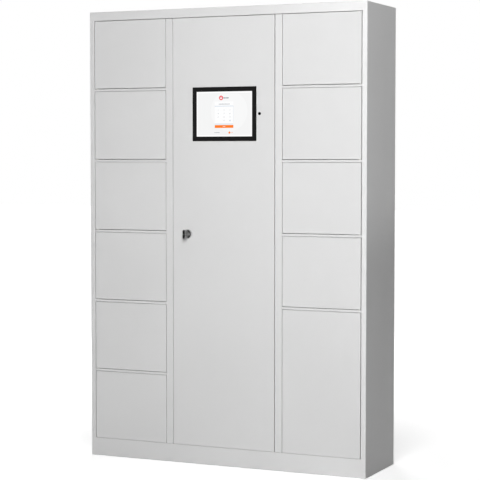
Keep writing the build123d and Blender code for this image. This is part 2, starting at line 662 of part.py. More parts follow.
def sensor_nut():
    """Ring nut behind the door that holds the eye."""
    back = DOOR_SHEET + SENSOR_NUT_THICK
    ring = bar_y(SENSOR_X, DOOR_SHEET, back, SCREEN_Z, SENSOR_NUT_RADIUS)
    return ring - bar_y(SENSOR_X, DOOR_SHEET, back, SCREEN_Z, SENSOR_BARREL_RADIUS + SENSOR_CLEARANCE)


# ---- Turn knob, pinion and rods ----------------------------------------------------------------------

def knob_bar(depth0, depth1):
    """Upright bar with round ends, the section of the knob's grip."""
    outline = SlotOverall(KNOB_HEIGHT, KNOB_WIDTH, rotation=90)
    return pulled(Pos(KNOB_X, FRONT_Y + depth0, KNOB_Z) * (Plane.XZ * outline), (0, 1, 0), depth1 - depth0)


def knob_rosette():
    """Fixed round rosette under the knob."""
    disc = bar_y(KNOB_X, -ROSETTE_THICK, 0, KNOB_Z, ROSETTE_RADIUS)
    disc = chamfer(front_edges(disc), ROSETTE_CHAMFER)
    return disc - bar_y(KNOB_X, -ROSETTE_THICK, 0, KNOB_Z, SHAFT_RADIUS + RUNNING_CLEARANCE)


def key_bore():
    """Tool for the bore that takes the key cylinder."""
    return bar_y(KNOB_X, -KNOB_REACH, KEY_LENGTH - KNOB_REACH, KNOB_Z, KEY_RADIUS + RUNNING_CLEARANCE)


def turn_knob():
    """Grip bar on a narrower neck, with the shaft that runs through the door."""
    neck_front = -ROSETTE_THICK - KNOB_LIFT - NECK_LENGTH
    knob = knob_bar(KNOB_CAP - KNOB_REACH, neck_front)
    knob += bar_y(KNOB_X, neck_front, -ROSETTE_THICK - KNOB_LIFT, KNOB_Z, NECK_RADIUS)
    knob += bar_y(KNOB_X, neck_front, DOOR_THICK + KNOB_LIFT + SHAFT_NUT_THICK, KNOB_Z, SHAFT_RADIUS)
    return knob - key_bore()


def knob_cap():
    """Dark cap over the front of the grip bar."""
    cap = knob_bar(-KNOB_REACH, KNOB_CAP - KNOB_REACH)
    return fillet(front_edges(cap), KNOB_EDGE) - key_bore()


def key_cylinder():
    """Key cylinder in the end of the knob, with an upright keyway."""
    barrel = bar_y(KNOB_X, -KNOB_REACH, KEY_LENGTH - KNOB_REACH, KNOB_Z, KEY_RADIUS)
    return barrel - block(KNOB_X - KEYWAY_WIDTH / 2, KNOB_X + KEYWAY_WIDTH / 2, -KNOB_REACH,
                          KEYWAY_DEPTH - KNOB_REACH, KNOB_Z - KEYWAY_HEIGHT / 2, KNOB_Z + KEYWAY_HEIGHT / 2)


def shaft_nut():
    """Hexagon nut that keeps the shaft in the gear case."""
    front = DOOR_THICK + KNOB_LIFT
    outline = RegularPolygon(SHAFT_NUT_RADIUS, 6)
    nut = pulled(Pos(KNOB_X, FRONT_Y + front, KNOB_Z) * (Plane.XZ * outline), (0, 1, 0), SHAFT_NUT_THICK)
    return nut - bar_y(KNOB_X, front, front + SHAFT_NUT_THICK, KNOB_Z, SHAFT_RADIUS + PIN_SEAT_CLEARANCE)


def drive_pinion():
    """Spur pinion on the knob's shaft: involute flanks, with one tooth straight towards each rack."""
    base = PITCH_RADIUS * cos(PRESSURE_ANGLE)
    root = PITCH_RADIUS - DEDENDUM
    tip = PITCH_RADIUS + GEAR_MODULE
    half_tooth = pi / (2 * PINION_TEETH) - BACKLASH / (2 * PITCH_RADIUS)
    pitch_involute = tan(PRESSURE_ANGLE) - PRESSURE_ANGLE
    flank = []
    for i in range(FLANK_STEPS + 1):
        radius = base + (tip - base) * i / FLANK_STEPS
        pressure = acos(base / radius)
        flank.append((radius, half_tooth + pitch_involute - (tan(pressure) - pressure)))
    flank.insert(0, (root, flank[0][1]))
    outline = []
    for tooth in range(PINION_TEETH):
        middle = 2 * pi * tooth / PINION_TEETH
        outline += [(radius, middle - angle) for radius, angle in flank]
        outline += [(radius, middle + angle) for radius, angle in reversed(flank)]
    points = [(KNOB_X + radius * cos(angle), KNOB_Z + radius * sin(angle)) for radius, angle in outline]
    gear = plate(points, ROD_DEPTH - ROD_RADIUS, ROD_DEPTH + ROD_RADIUS)
    return gear - bar_y(KNOB_X, 0, DOOR_THICK, KNOB_Z, SHAFT_RADIUS + PIN_SEAT_CLEARANCE)


def rack(side, z0, z1):
    """Toothed bar beside the pinion. A gap between its teeth faces the tooth on the knob's centre line."""
    pitch = pi * GEAR_MODULE
    pitch_line = KNOB_X + side * PITCH_RADIUS
    tips = pitch_line - side * RACK_ADDENDUM
    roots = pitch_line + side * DEDENDUM
    back = KNOB_X + side * (ROD_OFFSET + ROD_RADIUS)
    half_tip = pitch / 4 - BACKLASH / 2 - RACK_ADDENDUM * tan(PRESSURE_ANGLE)
    half_root = pitch / 4 - BACKLASH / 2 + DEDENDUM * tan(PRESSURE_ANGLE)
    points = [(back, z0), (roots, z0)]
    first = int((z0 - KNOB_Z) // pitch) + 1
    last = int((z1 - KNOB_Z) // pitch) - 1
    for i in range(first, last + 1):
        z = KNOB_Z + (i + 0.5) * pitch
        points += [(roots, z - half_root), (tips, z - half_tip), (tips, z + half_tip), (roots, z + half_root)]
    points += [(roots, z1), (back, z1)]
    return plate(points, ROD_DEPTH - ROD_RADIUS, ROD_DEPTH + ROD_RADIUS)


def upper_rod():
    """Rod that rises into the header, on the left of the pinion."""
    bar = rack(-1, KNOB_Z - ROD_TRAVEL - RACK_END, KNOB_Z + RACK_END)
    rod = bar_z(KNOB_X - ROD_OFFSET, ROD_DEPTH, KNOB_Z + RACK_END, SERVICE_TOP - ROD_SETBACK, ROD_RADIUS)
    return bar + chamfer(rod.edges().group_by(Axis.Z)[-1], ROD_RADIUS / 4)


def lower_rod():
    """Rod that drops into the cabinet's floor, on the right of the pinion."""
    bar = rack(1, KNOB_Z - RACK_END, KNOB_Z + ROD_TRAVEL + RACK_END)
    rod = bar_z(KNOB_X + ROD_OFFSET, ROD_DEPTH, SERVICE_LOW + ROD_SETBACK, KNOB_Z - RACK_END, ROD_RADIUS)
    return bar + chamfer(rod.edges().group_by(Axis.Z)[0], ROD_RADIUS / 4)


def gear_case():
    """Case that holds the pinion and both racks against the door's face."""
    case = block(KNOB_X - CASE_HALF_WIDTH, KNOB_X + CASE_HALF_WIDTH, DOOR_SHEET, DOOR_THICK,
                 KNOB_Z - CASE_HALF_HEIGHT, KNOB_Z + CASE_HALF_HEIGHT)
    case = fillet(case.edges().filter_by(Axis.Y), CASE_EDGE)
    half_width = CASE_HALF_WIDTH - CASE_WALL
    half_height = CASE_HALF_HEIGHT - CASE_WALL
    case -= block(KNOB_X - half_width, KNOB_X + half_width, DOOR_SHEET + CASE_WALL, DOOR_THICK - CASE_WALL,
                  KNOB_Z - half_height, KNOB_Z + half_height)
    case -= bar_y(KNOB_X, DOOR_SHEET, DOOR_THICK, KNOB_Z, SHAFT_RADIUS + RUNNING_CLEARANCE)
    rod_bore = ROD_RADIUS + RUNNING_CLEARANCE
    case -= bar_z(KNOB_X - ROD_OFFSET, ROD_DEPTH, KNOB_Z, KNOB_Z + CASE_HALF_HEIGHT, rod_bore)
    return case - bar_z(KNOB_X + ROD_OFFSET, ROD_DEPTH, KNOB_Z - CASE_HALF_HEIGHT, KNOB_Z, rod_bore)


def rod_guide(x, z):
    """Guide block on the door's face that a rod slides in."""
    guide = block(x - GUIDE_WIDTH / 2, x + GUIDE_WIDTH / 2, DOOR_SHEET, DOOR_THICK - DOOR_SHEET,
                  z - GUIDE_HEIGHT / 2, z + GUIDE_HEIGHT / 2)
    return guide - bar_z(x, ROD_DEPTH, z - GUIDE_HEIGHT / 2, z + GUIDE_HEIGHT / 2,
                         ROD_RADIUS + RUNNING_CLEARANCE)


def rod_keeper(x, z0, z1):
    """Block on the frame with the hole that a rod enters."""
    keeper = block(x - KEEPER_WIDTH / 2, x + KEEPER_WIDTH / 2, KEEPER_FRONT, KEEPER_BACK, z0, z1)
    return keeper - bar_z(x, ROD_DEPTH, z0, z1, ROD_RADIUS + ROD_HOLE_CLEARANCE)


# ---- Inside the service bay --------------------------------------------------------------------------

def board_corners():
    """Places of the board's four fixing points."""
    half_width = BOARD_WIDTH / 2 - BOARD_POST_INSET
    half_height = BOARD_HEIGHT / 2 - BOARD_POST_INSET
    return [(x, BOARD_Z + z) for x in (-half_width, half_width) for z in (-half_height, half_height)]


def equipment_plate():
    """Mounting plate on two folded legs, fixed to the back panel, with pressed-in spacers for the board."""
    half = PLATE_WIDTH / 2
    rear_face = REAR - PLATE_STANDOFF + FRAME_SHEET
    path = [(half + PLATE_FOOT, REAR), (half, REAR), (half, rear_face), (-half, rear_face), (-half, REAR),
            (-half - PLATE_FOOT, REAR)]
    panel = folded_upright(path, (FRAME_BEND,) * 4, PLATE_LOW, PLATE_HIGH)
    back = REAR - PLATE_STANDOFF
    for x, z in board_corners():
        panel += bar_y(x, back - BOARD_POST, back, z, BOARD_POST_RADIUS)
    return panel


def power_supply():
    """Power supply in a slotted case on the equipment plate."""
    back = REAR - PLATE_STANDOFF
    front = back - SUPPLY_THICK
    case = block(-SUPPLY_WIDTH / 2, SUPPLY_WIDTH / 2, front, back, SUPPLY_Z - SUPPLY_HEIGHT / 2,
                 SUPPLY_Z + SUPPLY_HEIGHT / 2)
    case = fillet(front_edges(case), SUPPLY_EDGE)
    for i in range(SUPPLY_SLOT_COUNT):
        x = (i - (SUPPLY_SLOT_COUNT - 1) / 2) * SUPPLY_SLOT_PITCH
        case -= block(x - SUPPLY_SLOT_WIDTH / 2, x + SUPPLY_SLOT_WIDTH / 2, front, front + SUPPLY_SLOT_DEPTH,
                      SUPPLY_Z - SUPPLY_SLOT_HEIGHT / 2, SUPPLY_Z + SUPPLY_SLOT_HEIGHT / 2)
    return case


def lock_controller():
    """Controller board on the spacers of the equipment plate, with its four fixing holes."""
    rear_face = REAR - PLATE_STANDOFF - BOARD_POST
    front_face = rear_face - BOARD_THICK
    board = block(-BOARD_WIDTH / 2, BOARD_WIDTH / 2, front_face, rear_face, BOARD_Z - BOARD_HEIGHT / 2,
                  BOARD_Z + BOARD_HEIGHT / 2)
    for x, z in board_corners():
        board -= bar_y(x, front_face, rear_face, z, BOARD_HOLE_RADIUS)
    return board


def lock_relays():
    """One relay on the board for each locker: an upper row for the left column, a lower one for the right."""
    front_face = REAR - PLATE_STANDOFF - BOARD_POST - BOARD_THICK
    relays = []
    for side, counts in ((1, LEFT_ROW_COUNTS), (-1, RIGHT_ROW_COUNTS)):
        z = BOARD_Z + side * BOARD_HEIGHT / 4
        pitch = (BOARD_WIDTH - 2 * BOARD_POST_INSET) / len(counts)
        for i in range(len(counts)):
            x = (i - (len(counts) - 1) / 2) * pitch
            relay = block(x - RELAY_SIZE / 2, x + RELAY_SIZE / 2, front_face - RELAY_HEIGHT, front_face,
                          z - RELAY_SIZE / 2, z + RELAY_SIZE / 2)
            relays.append(fillet(front_edges(relay), RELAY_EDGE))
    return relays


def inlet_block(inset, depth0, depth1):
    """Box as large as the inlet's body less an inset all round."""
    return block(INLET_X - INLET_WIDTH / 2 + inset, INLET_X + INLET_WIDTH / 2 - inset, depth0, depth1,
                 INLET_Z - INLET_HEIGHT / 2 + inset, INLET_Z + INLET_HEIGHT / 2 - inset)


def power_inlet():
    """Body of the mains inlet, which faces backwards through the back panel, with its flange."""
    front = REAR - INLET_DEPTH
    inlet = inlet_block(0, front, DEPTH - INLET_SETBACK)
    inlet += block(INLET_X - INLET_WIDTH / 2 - INLET_FLANGE, INLET_X + INLET_WIDTH / 2 + INLET_FLANGE,
                   REAR - INLET_FLANGE_THICK, REAR, INLET_Z - INLET_HEIGHT / 2 - INLET_WALL,
                   INLET_Z + INLET_HEIGHT / 2 + INLET_WALL)
    return inlet - inlet_block(INLET_WALL, front + INLET_FLOOR, DEPTH)


def inlet_blades():
    """Three contact blades on the floor of the inlet, the middle one higher."""
    root = REAR - INLET_DEPTH + INLET_FLOOR
    blades = []
    for i in (-1, 0, 1):
        x = INLET_X + i * BLADE_PITCH
        z = INLET_Z + (BLADE_RISE if i == 0 else -BLADE_RISE)
        blade = block(x - BLADE_THICK / 2, x + BLADE_THICK / 2, root, root + BLADE_LENGTH,
                      z - BLADE_WIDTH / 2, z + BLADE_WIDTH / 2)
        blades.append(chamfer(blade.faces().sort_by(Axis.Y)[-1].edges(), BLADE_TIP))
    return blades


# ---- Assembly ----------------------------------------------------------------------------------------

def write_carcass():
    """Panels, inner uprights and shelves."""
    side = side_panel()
    save("left_side_panel", side)
    save("right_side_panel", mirrored(side))
    save("top_panel", top_panel())
    save("base_panel", base_panel())
    save("back_panel", back_panel())
    save("left_partition", partition(LEFT_OPENINGS))
    save("right_partition", mirrored(partition(RIGHT_OPENINGS)))
    save("left_shelves", *[shelf(low - SHELF_STRIP) for low, top in LEFT_OPENINGS[:-1]])
    save("right_shelves", *[mirrored(shelf(low - SHELF_STRIP)) for low, top in RIGHT_OPENINGS[:-1]])


def write_hinges_and_buffers():
    """Pins and washers of every pivot, and the buffers that the doors close on."""
    pins = [header_pin(x) for x in (-PIVOT_X, PIVOT_X, SERVICE_PIVOT_X)]
    pins += [floor_pin(x) for x in (-PIVOT_X, PIVOT_X, SERVICE_PIVOT_X)]
    washers = [washer(SERVICE_PIVOT_X, PLINTH)]
    pads = buffers(-BAY_X + SIDE_LIP, BAY_X - SIDE_LIP, OPENING_TOP)
    for side, edges in ((-1, LEFT_OPENINGS), (1, RIGHT_OPENINGS)):
        x = side * PIVOT_X
        pins += [shelf_pin(x, low - SHELF_STRIP) for low, top in edges[:-1]]
        washers += [washer(x, low) for low, top in edges]
        column = sorted((side * JAMB_X, side * WALL_X))
        for low, top in edges:
            pads += buffers(column[0], column[1], top)
    save("hinge_pins", *pins)
    save("hinge_washers", *washers)
    save("door_buffers", *pads)


def write_lockers():
    """Doors, lock cases and lock bolts of both columns, numbered from the top."""
    cases = []
    for column, edges in (("left", LEFT_OPENINGS), ("right", RIGHT_OPENINGS)):
        for number, (low, top) in enumerate(edges, start=1):
            z = (low + top) / 2
            pieces = [locker_door(low, top), lock_bolt(z), lock_case(z)]
            if column == "right":
                pieces = [mirrored(piece) for piece in pieces]
            save(f"{column}_door_{number}", pieces[0])
            save(f"{column}_lock_bolt_{number}", pieces[1])
            cases.append(pieces[2])
    save("lock_cases", *cases)


def write_service_door():
    """Service door, touch terminal, sensor eye, turn knob, gear case and rods."""
    save("service_door", service_door())
    save("screen_frame", screen_frame())
    save("touch_glass", touch_glass())
    save("display_panel", display_panel())
    save("terminal_housing", terminal_housing())
    save("terminal_clamps", *[terminal_clamp(side, SCREEN_Z + height) for side in (-1, 1)
                              for height in (-CLAMP_INSET, CLAMP_INSET)])
    save("sensor_eye", sensor_eye())
    save("sensor_nut", sensor_nut())
    save("knob_rosette", knob_rosette())
    save("turn_knob", turn_knob())
    save("knob_cap", knob_cap())
    save("key_cylinder", key_cylinder())
    save("shaft_nut", shaft_nut())
    save("drive_pinion", drive_pinion())
    save("upper_rod", upper_rod())
    save("lower_rod", lower_rod())
    save("gear_case", gear_case())
    upper_x = KNOB_X - ROD_OFFSET
    lower_x = KNOB_X + ROD_OFFSET
    save("rod_guides", rod_guide(upper_x, SERVICE_TOP - GUIDE_END_INSET),
         rod_guide(upper_x, KNOB_Z + GUIDE_INNER_INSET), rod_guide(lower_x, KNOB_Z - GUIDE_INNER_INSET),
         rod_guide(lower_x, SERVICE_LOW + GUIDE_END_INSET))
    header_seat = OPENING_TOP + FRAME_SHEET
    floor_seat = PLINTH - FRAME_SHEET
    save("rod_keepers", rod_keeper(upper_x, header_seat, header_seat + KEEPER_HEIGHT),
         rod_keeper(lower_x, floor_seat - KEEPER_HEIGHT, floor_seat))


def write_service_bay():
    """Equipment inside the service bay."""
    save("equipment_plate", equipment_plate())
    save("power_supply", power_supply())
    save("lock_controller", lock_controller())
    save("lock_relays", *lock_relays())
    save("power_inlet", power_inlet())
    save("inlet_blades", *inlet_blades())


os.makedirs("parts", exist_ok=True)
write_carcass()
write_hinges_and_buffers()
write_lockers()
write_service_door()
write_service_bay()
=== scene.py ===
"""Phone locker cabinet: finishes, lit screen, fixings and studio for the packed parts.

Lengths are in metres in the cabinet's own frame: X to the right, Y into the cabinet, Z up from the floor.
A "front" surface looks along -Y.
"""

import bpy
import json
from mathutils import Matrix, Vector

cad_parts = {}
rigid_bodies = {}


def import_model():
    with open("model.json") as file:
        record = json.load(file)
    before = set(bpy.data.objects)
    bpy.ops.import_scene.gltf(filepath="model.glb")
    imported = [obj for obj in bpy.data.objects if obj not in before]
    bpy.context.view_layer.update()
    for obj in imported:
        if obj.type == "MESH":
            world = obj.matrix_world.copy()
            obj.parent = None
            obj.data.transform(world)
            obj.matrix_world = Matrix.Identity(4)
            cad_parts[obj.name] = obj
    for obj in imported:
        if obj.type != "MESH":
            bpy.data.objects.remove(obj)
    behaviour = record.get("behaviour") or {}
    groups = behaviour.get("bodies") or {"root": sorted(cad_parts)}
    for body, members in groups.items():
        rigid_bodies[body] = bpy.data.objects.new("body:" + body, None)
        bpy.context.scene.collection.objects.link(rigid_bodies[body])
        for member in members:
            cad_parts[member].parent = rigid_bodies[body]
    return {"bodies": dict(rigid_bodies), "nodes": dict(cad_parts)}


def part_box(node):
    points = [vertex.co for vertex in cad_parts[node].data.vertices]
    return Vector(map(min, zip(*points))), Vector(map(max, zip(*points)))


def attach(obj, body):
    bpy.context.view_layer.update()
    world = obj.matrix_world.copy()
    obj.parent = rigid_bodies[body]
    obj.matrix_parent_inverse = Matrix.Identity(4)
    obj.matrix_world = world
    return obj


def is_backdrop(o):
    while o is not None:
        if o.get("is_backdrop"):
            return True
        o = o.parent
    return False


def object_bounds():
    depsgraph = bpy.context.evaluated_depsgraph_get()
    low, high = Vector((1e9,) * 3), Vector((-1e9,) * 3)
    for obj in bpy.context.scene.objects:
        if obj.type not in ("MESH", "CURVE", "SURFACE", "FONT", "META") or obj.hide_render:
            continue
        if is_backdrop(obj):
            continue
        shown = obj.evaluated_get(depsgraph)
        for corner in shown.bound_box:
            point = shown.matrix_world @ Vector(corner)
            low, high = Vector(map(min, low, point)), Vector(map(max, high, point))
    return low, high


bl_info = {
    "name": "Phone locker cabinet",
    "version": (1, 0, 0),
    "blender": (4, 5, 0),
    "location": "View3D > Sidebar > Locker",
    "description": "Finishes, lit screen, fixings and studio of a phone locker cabinet",
    "category": "Object",
}

import json
from math import pi, radians

import bmesh
import bpy
import numpy as np

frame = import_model()

LOCKERS = [name for name in frame["bodies"] if "_door_" in name]
BOLTS = [name for name in frame["bodies"] if "_lock_bolt_" in name]
SHARP = radians(35)
BODY_PANELS = ("left_side_panel", "right_side_panel", "top_panel", "base_panel", "back_panel",
               "left_partition", "right_partition", "left_shelves", "right_shelves")

# The painted highlight that makes the frame's front paler at its upper right: X and Z over which it comes,
# the part of it that doesn't change with Z, and how far behind the front its edge starts and ends.
PAINTED_HIGHLIGHT_ACROSS = (0.15, 0.55)
PAINTED_HIGHLIGHT_UP = (1.2, 1.8)
PAINTED_HIGHLIGHT_LEVEL = 0.6
PAINTED_HIGHLIGHT_DEPTH = (0.0012, 0.0016)

# The screen's page, in metres from its middle. A bar is (left, right, bottom, top, corner radius), a band as
# wide as the card is (bottom, top, corner radius), and a disc is (x, z, radius). The padlock's body is a bar
# from its sign's middle, and its bow is (height over that middle, outer radius, inner radius).
PAGE_SHIFT = -0.0007
PAGE_DISC = (0.0225, 0.0124, 0.084)
PAGE_DISC_END = 0.086
HEAD_BAND = (0.0320, 0.0345, 0.0004)
SHELF_BAND = (-0.0460, -0.0395, 0.0008)
BUTTON_BAND = (-0.0585, -0.0466, 0.0016)
BUTTON_BAR = (-0.0060, 0.0060, -0.0532, -0.0518, 0.0006)
SIGN_DISC = (-0.0138, 0.0679, 0.0098)
PADLOCK_BODY = (-0.0038, 0.0038, -0.0042, 0.0008, 0.0007)
PADLOCK_BOW = (0.0006, 0.0026, 0.0015)
LAMP_DISC = (0.0249, -0.0784, 0.0045)
LAMP_BAR = (0.0335, 0.0415, -0.0790, -0.0778, 0.0005)
ROW_DISC = (-0.0228, 0.0417, 0.0017)
ROW_PITCH, ROW_COUNT = 0.0047, 11
TITLE_BARS = ((-0.0035, 0.0085, 0.0655, 0.0696, 0.0009), (0.0095, 0.0215, 0.0655, 0.0696, 0.0009),
              (-0.0457, -0.0206, -0.0792, -0.0776, 0.0008))

# Fixings and electronics: the lock cases' open faces at plus and minus X, and what stands on the board. A
# section is of (distance before the board, distance in from its edge), a profile of (radius, height), and a
# chip is (left, right, bottom, top) with its heights taken from the board's middle.
LOCK_FACE = 0.2415
TERMINAL_SECTION = ((0, 0.0105), (0.0100, 0.0085), (0.0120, 0.0070), (0.0120, 0.0020), (0.0080, 0), (0, 0))
CHIPS = ((-0.050, -0.036, -0.0065, 0.0075), (0.012, 0.022, -0.003, 0.003))
CHIP_CENTRE = (-0.043, 0.0005)
CHIP_LEGS, LEG_PITCH, LEG_REACH = 12, 0.0011, 0.0079
CAN = ((0, 0), (0.0040, 0), (0.0040, 0.0098), (0.0036, 0.0104), (0.0030, 0.0104), (0.0028, 0.0101),
       (0, 0.0101))
CAN_TOP = ((0, 0), (0.0029, 0), (0.0029, 0.0001), (0, 0.0001))
CAN_PLACES = (0.040, 0.052, 0.064)
LAMP = ((0, 0), (0.0014, 0), (0.0014, 0.0012), (0.0011, 0.0022), (0.0006, 0.0026), (0, 0.0027))
STRIP_PITCH, STRIP_WAYS = 0.0095, 9

# Stage: half the floor's width, how far to the left a direction points where the fill is weakest and where it
# is full, and the floor's white: the distances over which it comes, and its strength at the nearer one.
FLOOR = 30.0
FILL_TURN = (-0.42, 0.1)
WHITENING = (0.9, 3.0, 0.52)


# ---- Settings ----------------------------------------------------------------------------------------

def colour(name, description, default):
    """Colour setting."""
    return bpy.props.FloatVectorProperty(name=name, description=description, default=default, size=3,
                                         min=0, max=1, subtype="COLOR")


def length(name, description, default):
    """Length setting, in metres."""
    return bpy.props.FloatProperty(name=name, description=description, default=default, precision=5,
                                   unit="LENGTH")


def share(name, description, default):
    """Setting between 0 and 1."""
    return bpy.props.FloatProperty(name=name, description=description, default=default, min=0, max=1,
                                   subtype="FACTOR")


def number(name, description, default):
    """Setting from 0 up."""
    return bpy.props.FloatProperty(name=name, description=description, default=default, min=0)


def angle(name, description, degrees):
    """Angle setting."""
    return bpy.props.FloatProperty(name=name, description=description, default=radians(degrees),
                                   subtype="ANGLE")


def point(name, description, default):
    """Place in the room, in metres."""
    return bpy.props.FloatVectorProperty(name=name, description=description, default=default, size=3,
                                         unit="LENGTH")


class LockerPaint(bpy.types.PropertyGroup):
    """Powder coat of the cabinet."""
    body: colour("Body", "Powder coat of the frame and panels", (0.71, 0.71, 0.71))
    doors: colour("Doors", "Powder coat of all doors", (0.71, 0.71, 0.71))
    # Painted highlight: the frame's front is coloured paler at its upper right, by this share.
    pale: share("Painted highlight", "How much paler the frame's front is at its upper right", 0.13)
    roughness: share("Roughness", "How matt the coat is", 0.50)
    gloss: share("Gloss", "Strength of the coat's reflections", 0.12)
    grain: length("Grain", "Size of the coat's fine texture", 0.0011)
    peel: length("Peel", "Width of the soft waves under the fine texture", 0.007)


class LockerMetal(bpy.types.PropertyGroup):
    """Plated and bare metals."""
    zinc: colour("Zinc", "Plated rods, pins and clips", (0.62, 0.63, 0.62))
    galvanised: colour("Galvanised", "Equipment plate", (0.55, 0.57, 0.58))
    knob: colour("Knob", "Satin chrome of the knob", (0.33, 0.33, 0.33))
    rosette: colour("Rosette", "Satin chrome of the plate under the knob", (0.50, 0.50, 0.50))
    # Painted shade: a black ring on the rosette round the knob's neck, where the grip shades it; the rosette
    # is flat there.
    painted_shade_ring: length("Painted shade ring", "Radius of the black groove round the knob's neck", 0.0145)
    brass: colour("Brass", "Inlet blades", (0.72, 0.56, 0.28))
    aluminium: colour("Aluminium", "Power supply and display tray", (0.60, 0.61, 0.62))


class LockerPlastic(bpy.types.PropertyGroup):
    """Mouldings, rubber and the circuit board."""
    bezel: colour("Bezel", "Frame round the screen", (0.006, 0.006, 0.006))
    moulding: colour("Moulding", "Lock cases, nuts and the inlet", (0.028, 0.028, 0.030))
    cap: colour("Knob cap", "Dark front of the knob", (0.008, 0.008, 0.008))
    rubber: colour("Rubber", "Door buffers", (0.040, 0.040, 0.040))
    nylon: colour("Nylon", "Washers and rod guides", (0.76, 0.74, 0.68))
    board: colour("Board", "Solder mask of the controller", (0.012, 0.100, 0.035))
    terminal: colour("Terminal", "Plug-in terminals on the board", (0.05, 0.28, 0.09))


class LockerScreen(bpy.types.PropertyGroup):
    """What the touch screen shows."""
    glow: number("Glow", "Brightness of the lit screen", 1.0)
    page: colour("Page", "Page behind the keypad card", (0.895, 0.897, 0.898))
    card: colour("Card", "Keypad card", (0.975, 0.978, 0.980))
    digit: colour("Digits", "Keypad digits", (0.260, 0.300, 0.350))
    rule: colour("Rules", "Thin lines of the card", (0.600, 0.690, 0.790))
    accent: colour("Accent", "Button under the keypad", (1.000, 0.205, 0.004))
    sign: colour("Sign", "Round padlock sign over the card", (0.863, 0.135, 0.155))
    border: length("Border", "White border round the page", 0.0060)
    card_width: length("Card width", "Width of the keypad card", 0.0870)
    card_top: length("Card top", "Card's top above the screen's centre", 0.0525)
    card_bottom: length("Card bottom", "Card's bottom below the screen's centre", 0.0400)
    key_pitch_x: length("Key pitch across", "Between two columns of digits", 0.0273)
    key_pitch_z: length("Key pitch down", "Between two rows of digits", 0.0147)
    key_top: length("First row", "Middle of the first row above the screen's centre", 0.0165)
    digit_height: length("Digit height", "Size of the keypad digits", 0.0072)
    layer: length("Layer", "Thickness of what lies on the page", 0.00008)


class LockerFixings(bpy.types.PropertyGroup):
    """Screws and the small parts of the electronics."""
    head_radius: length("Screw head", "Radius of a pan head", 0.0036)
    head_height: length("Head height", "Height of a pan head", 0.0022)
    flat_height: length("Flat height", "What a sunk head shows over its sheet", 0.0004)
    recess: length("Recess", "Width of the cross recess", 0.0011)
    terminal_pitch: length("Terminal pitch", "Between two ways of a terminal block", 0.00508)


class LockerStage(bpy.types.PropertyGroup):
    """Camera, lamps and floor."""
    camera: point("Camera", "Place of the camera", (2.8726, -6.2418, 1.3252))
    turn: angle("Turn", "Camera's turn to the left", 24.652)
    tilt: angle("Tilt", "Camera's tilt below level", 3.038)
    lens: number("Lens", "Focal length in mm", 119.27)
    key_place: point("Key lamp", "Place of the soft lamp in front", (1.25, -3.25, 2.25))
    key_power: number("Key power", "Watts of the soft lamp in front", 107)
    rear_place: point("Rear lamp", "Place of the soft lamp behind", (-1.8, 3.6, 2.6))
    rear_power: number("Rear power", "Watts of the soft lamp behind", 82)
    soft_size: length("Soft lamps", "Width of both soft lamps", 1.6)
    side_place: point("Side lamp", "Place of the spot on the right side", (3.4, 0.0, 2.9))
    side_power: number("Side power", "Watts of the side spot", 66)
    side_dip: angle("Side dip", "Side spot's tilt below level", 14.6)
    side_cone: angle("Side cone", "Opening angle of the side spot", 41)
    fill: number("Fill", "Light from all round, at its brightest", 0.20)
    shade: share("Shade", "Share of the fill that comes from the right", 0.0)
    floor: colour("Floor", "Plain pale floor", (0.80, 0.80, 0.80))


SETTINGS = {"locker_paint": LockerPaint, "locker_metal": LockerMetal, "locker_plastic": LockerPlastic,
            "locker_screen": LockerScreen, "locker_fixings": LockerFixings, "locker_stage": LockerStage}


# ---- Finishes ----------------------------------------------------------------------------------------

class Nodes:
    """Short ways to add nodes to a tree."""

    def __init__(self, tree):
        self.tree = tree

    def node(self, kind, links=None, **values):
        """New node with its properties set and its inputs linked or given a value."""
        made = self.tree.nodes.new(kind)
        for key, value in values.items():
            setattr(made, key, value)
        for key, value in (links or {}).items():
            self.join(made.inputs[key], value)
        return made

    def join(self, socket, value):
        """Link a socket to an output, or give it a value."""
        if isinstance(value, bpy.types.NodeSocket):
            self.tree.links.new(value, socket)
        elif socket.type == "RGBA" and len(value) == 3:
            socket.default_value = (*value, 1)
        else:
            socket.default_value = value

    def maths(self, operation, a, b=0.0, c=0.0, clamp=False):
        """Result of one sum on numbers or outputs."""
        made = self.node("ShaderNodeMath", {0: a, 1: b, 2: c}, operation=operation, use_clamp=clamp)
        return made.outputs[0]

    def vector(self, operation, a, b=(0, 0, 0), result="Vector"):
        """Result of one sum on vectors, which may be a number."""
        return self.node("ShaderNodeVectorMath", {0: a, 1: b}, operation=operation).outputs[result]

    def mapped(self, value, start, end, low, high):
        """Number that runs from low to high as the value runs from start to end, and no further."""
        return self.node("ShaderNodeMapRange", {"Value": value, "From Min": start, "From Max": end,
                                                "To Min": low, "To Max": high}).outputs[0]

    def seen(self):
        """1 for what the camera, gloss or glass sees, and 0 for light."""
        path = self.node("ShaderNodeLightPath").outputs
        mirrored = self.maths("MAXIMUM", path["Is Glossy Ray"], path["Is Transmission Ray"])
        return self.maths("MAXIMUM", path["Is Camera Ray"], mirrored)


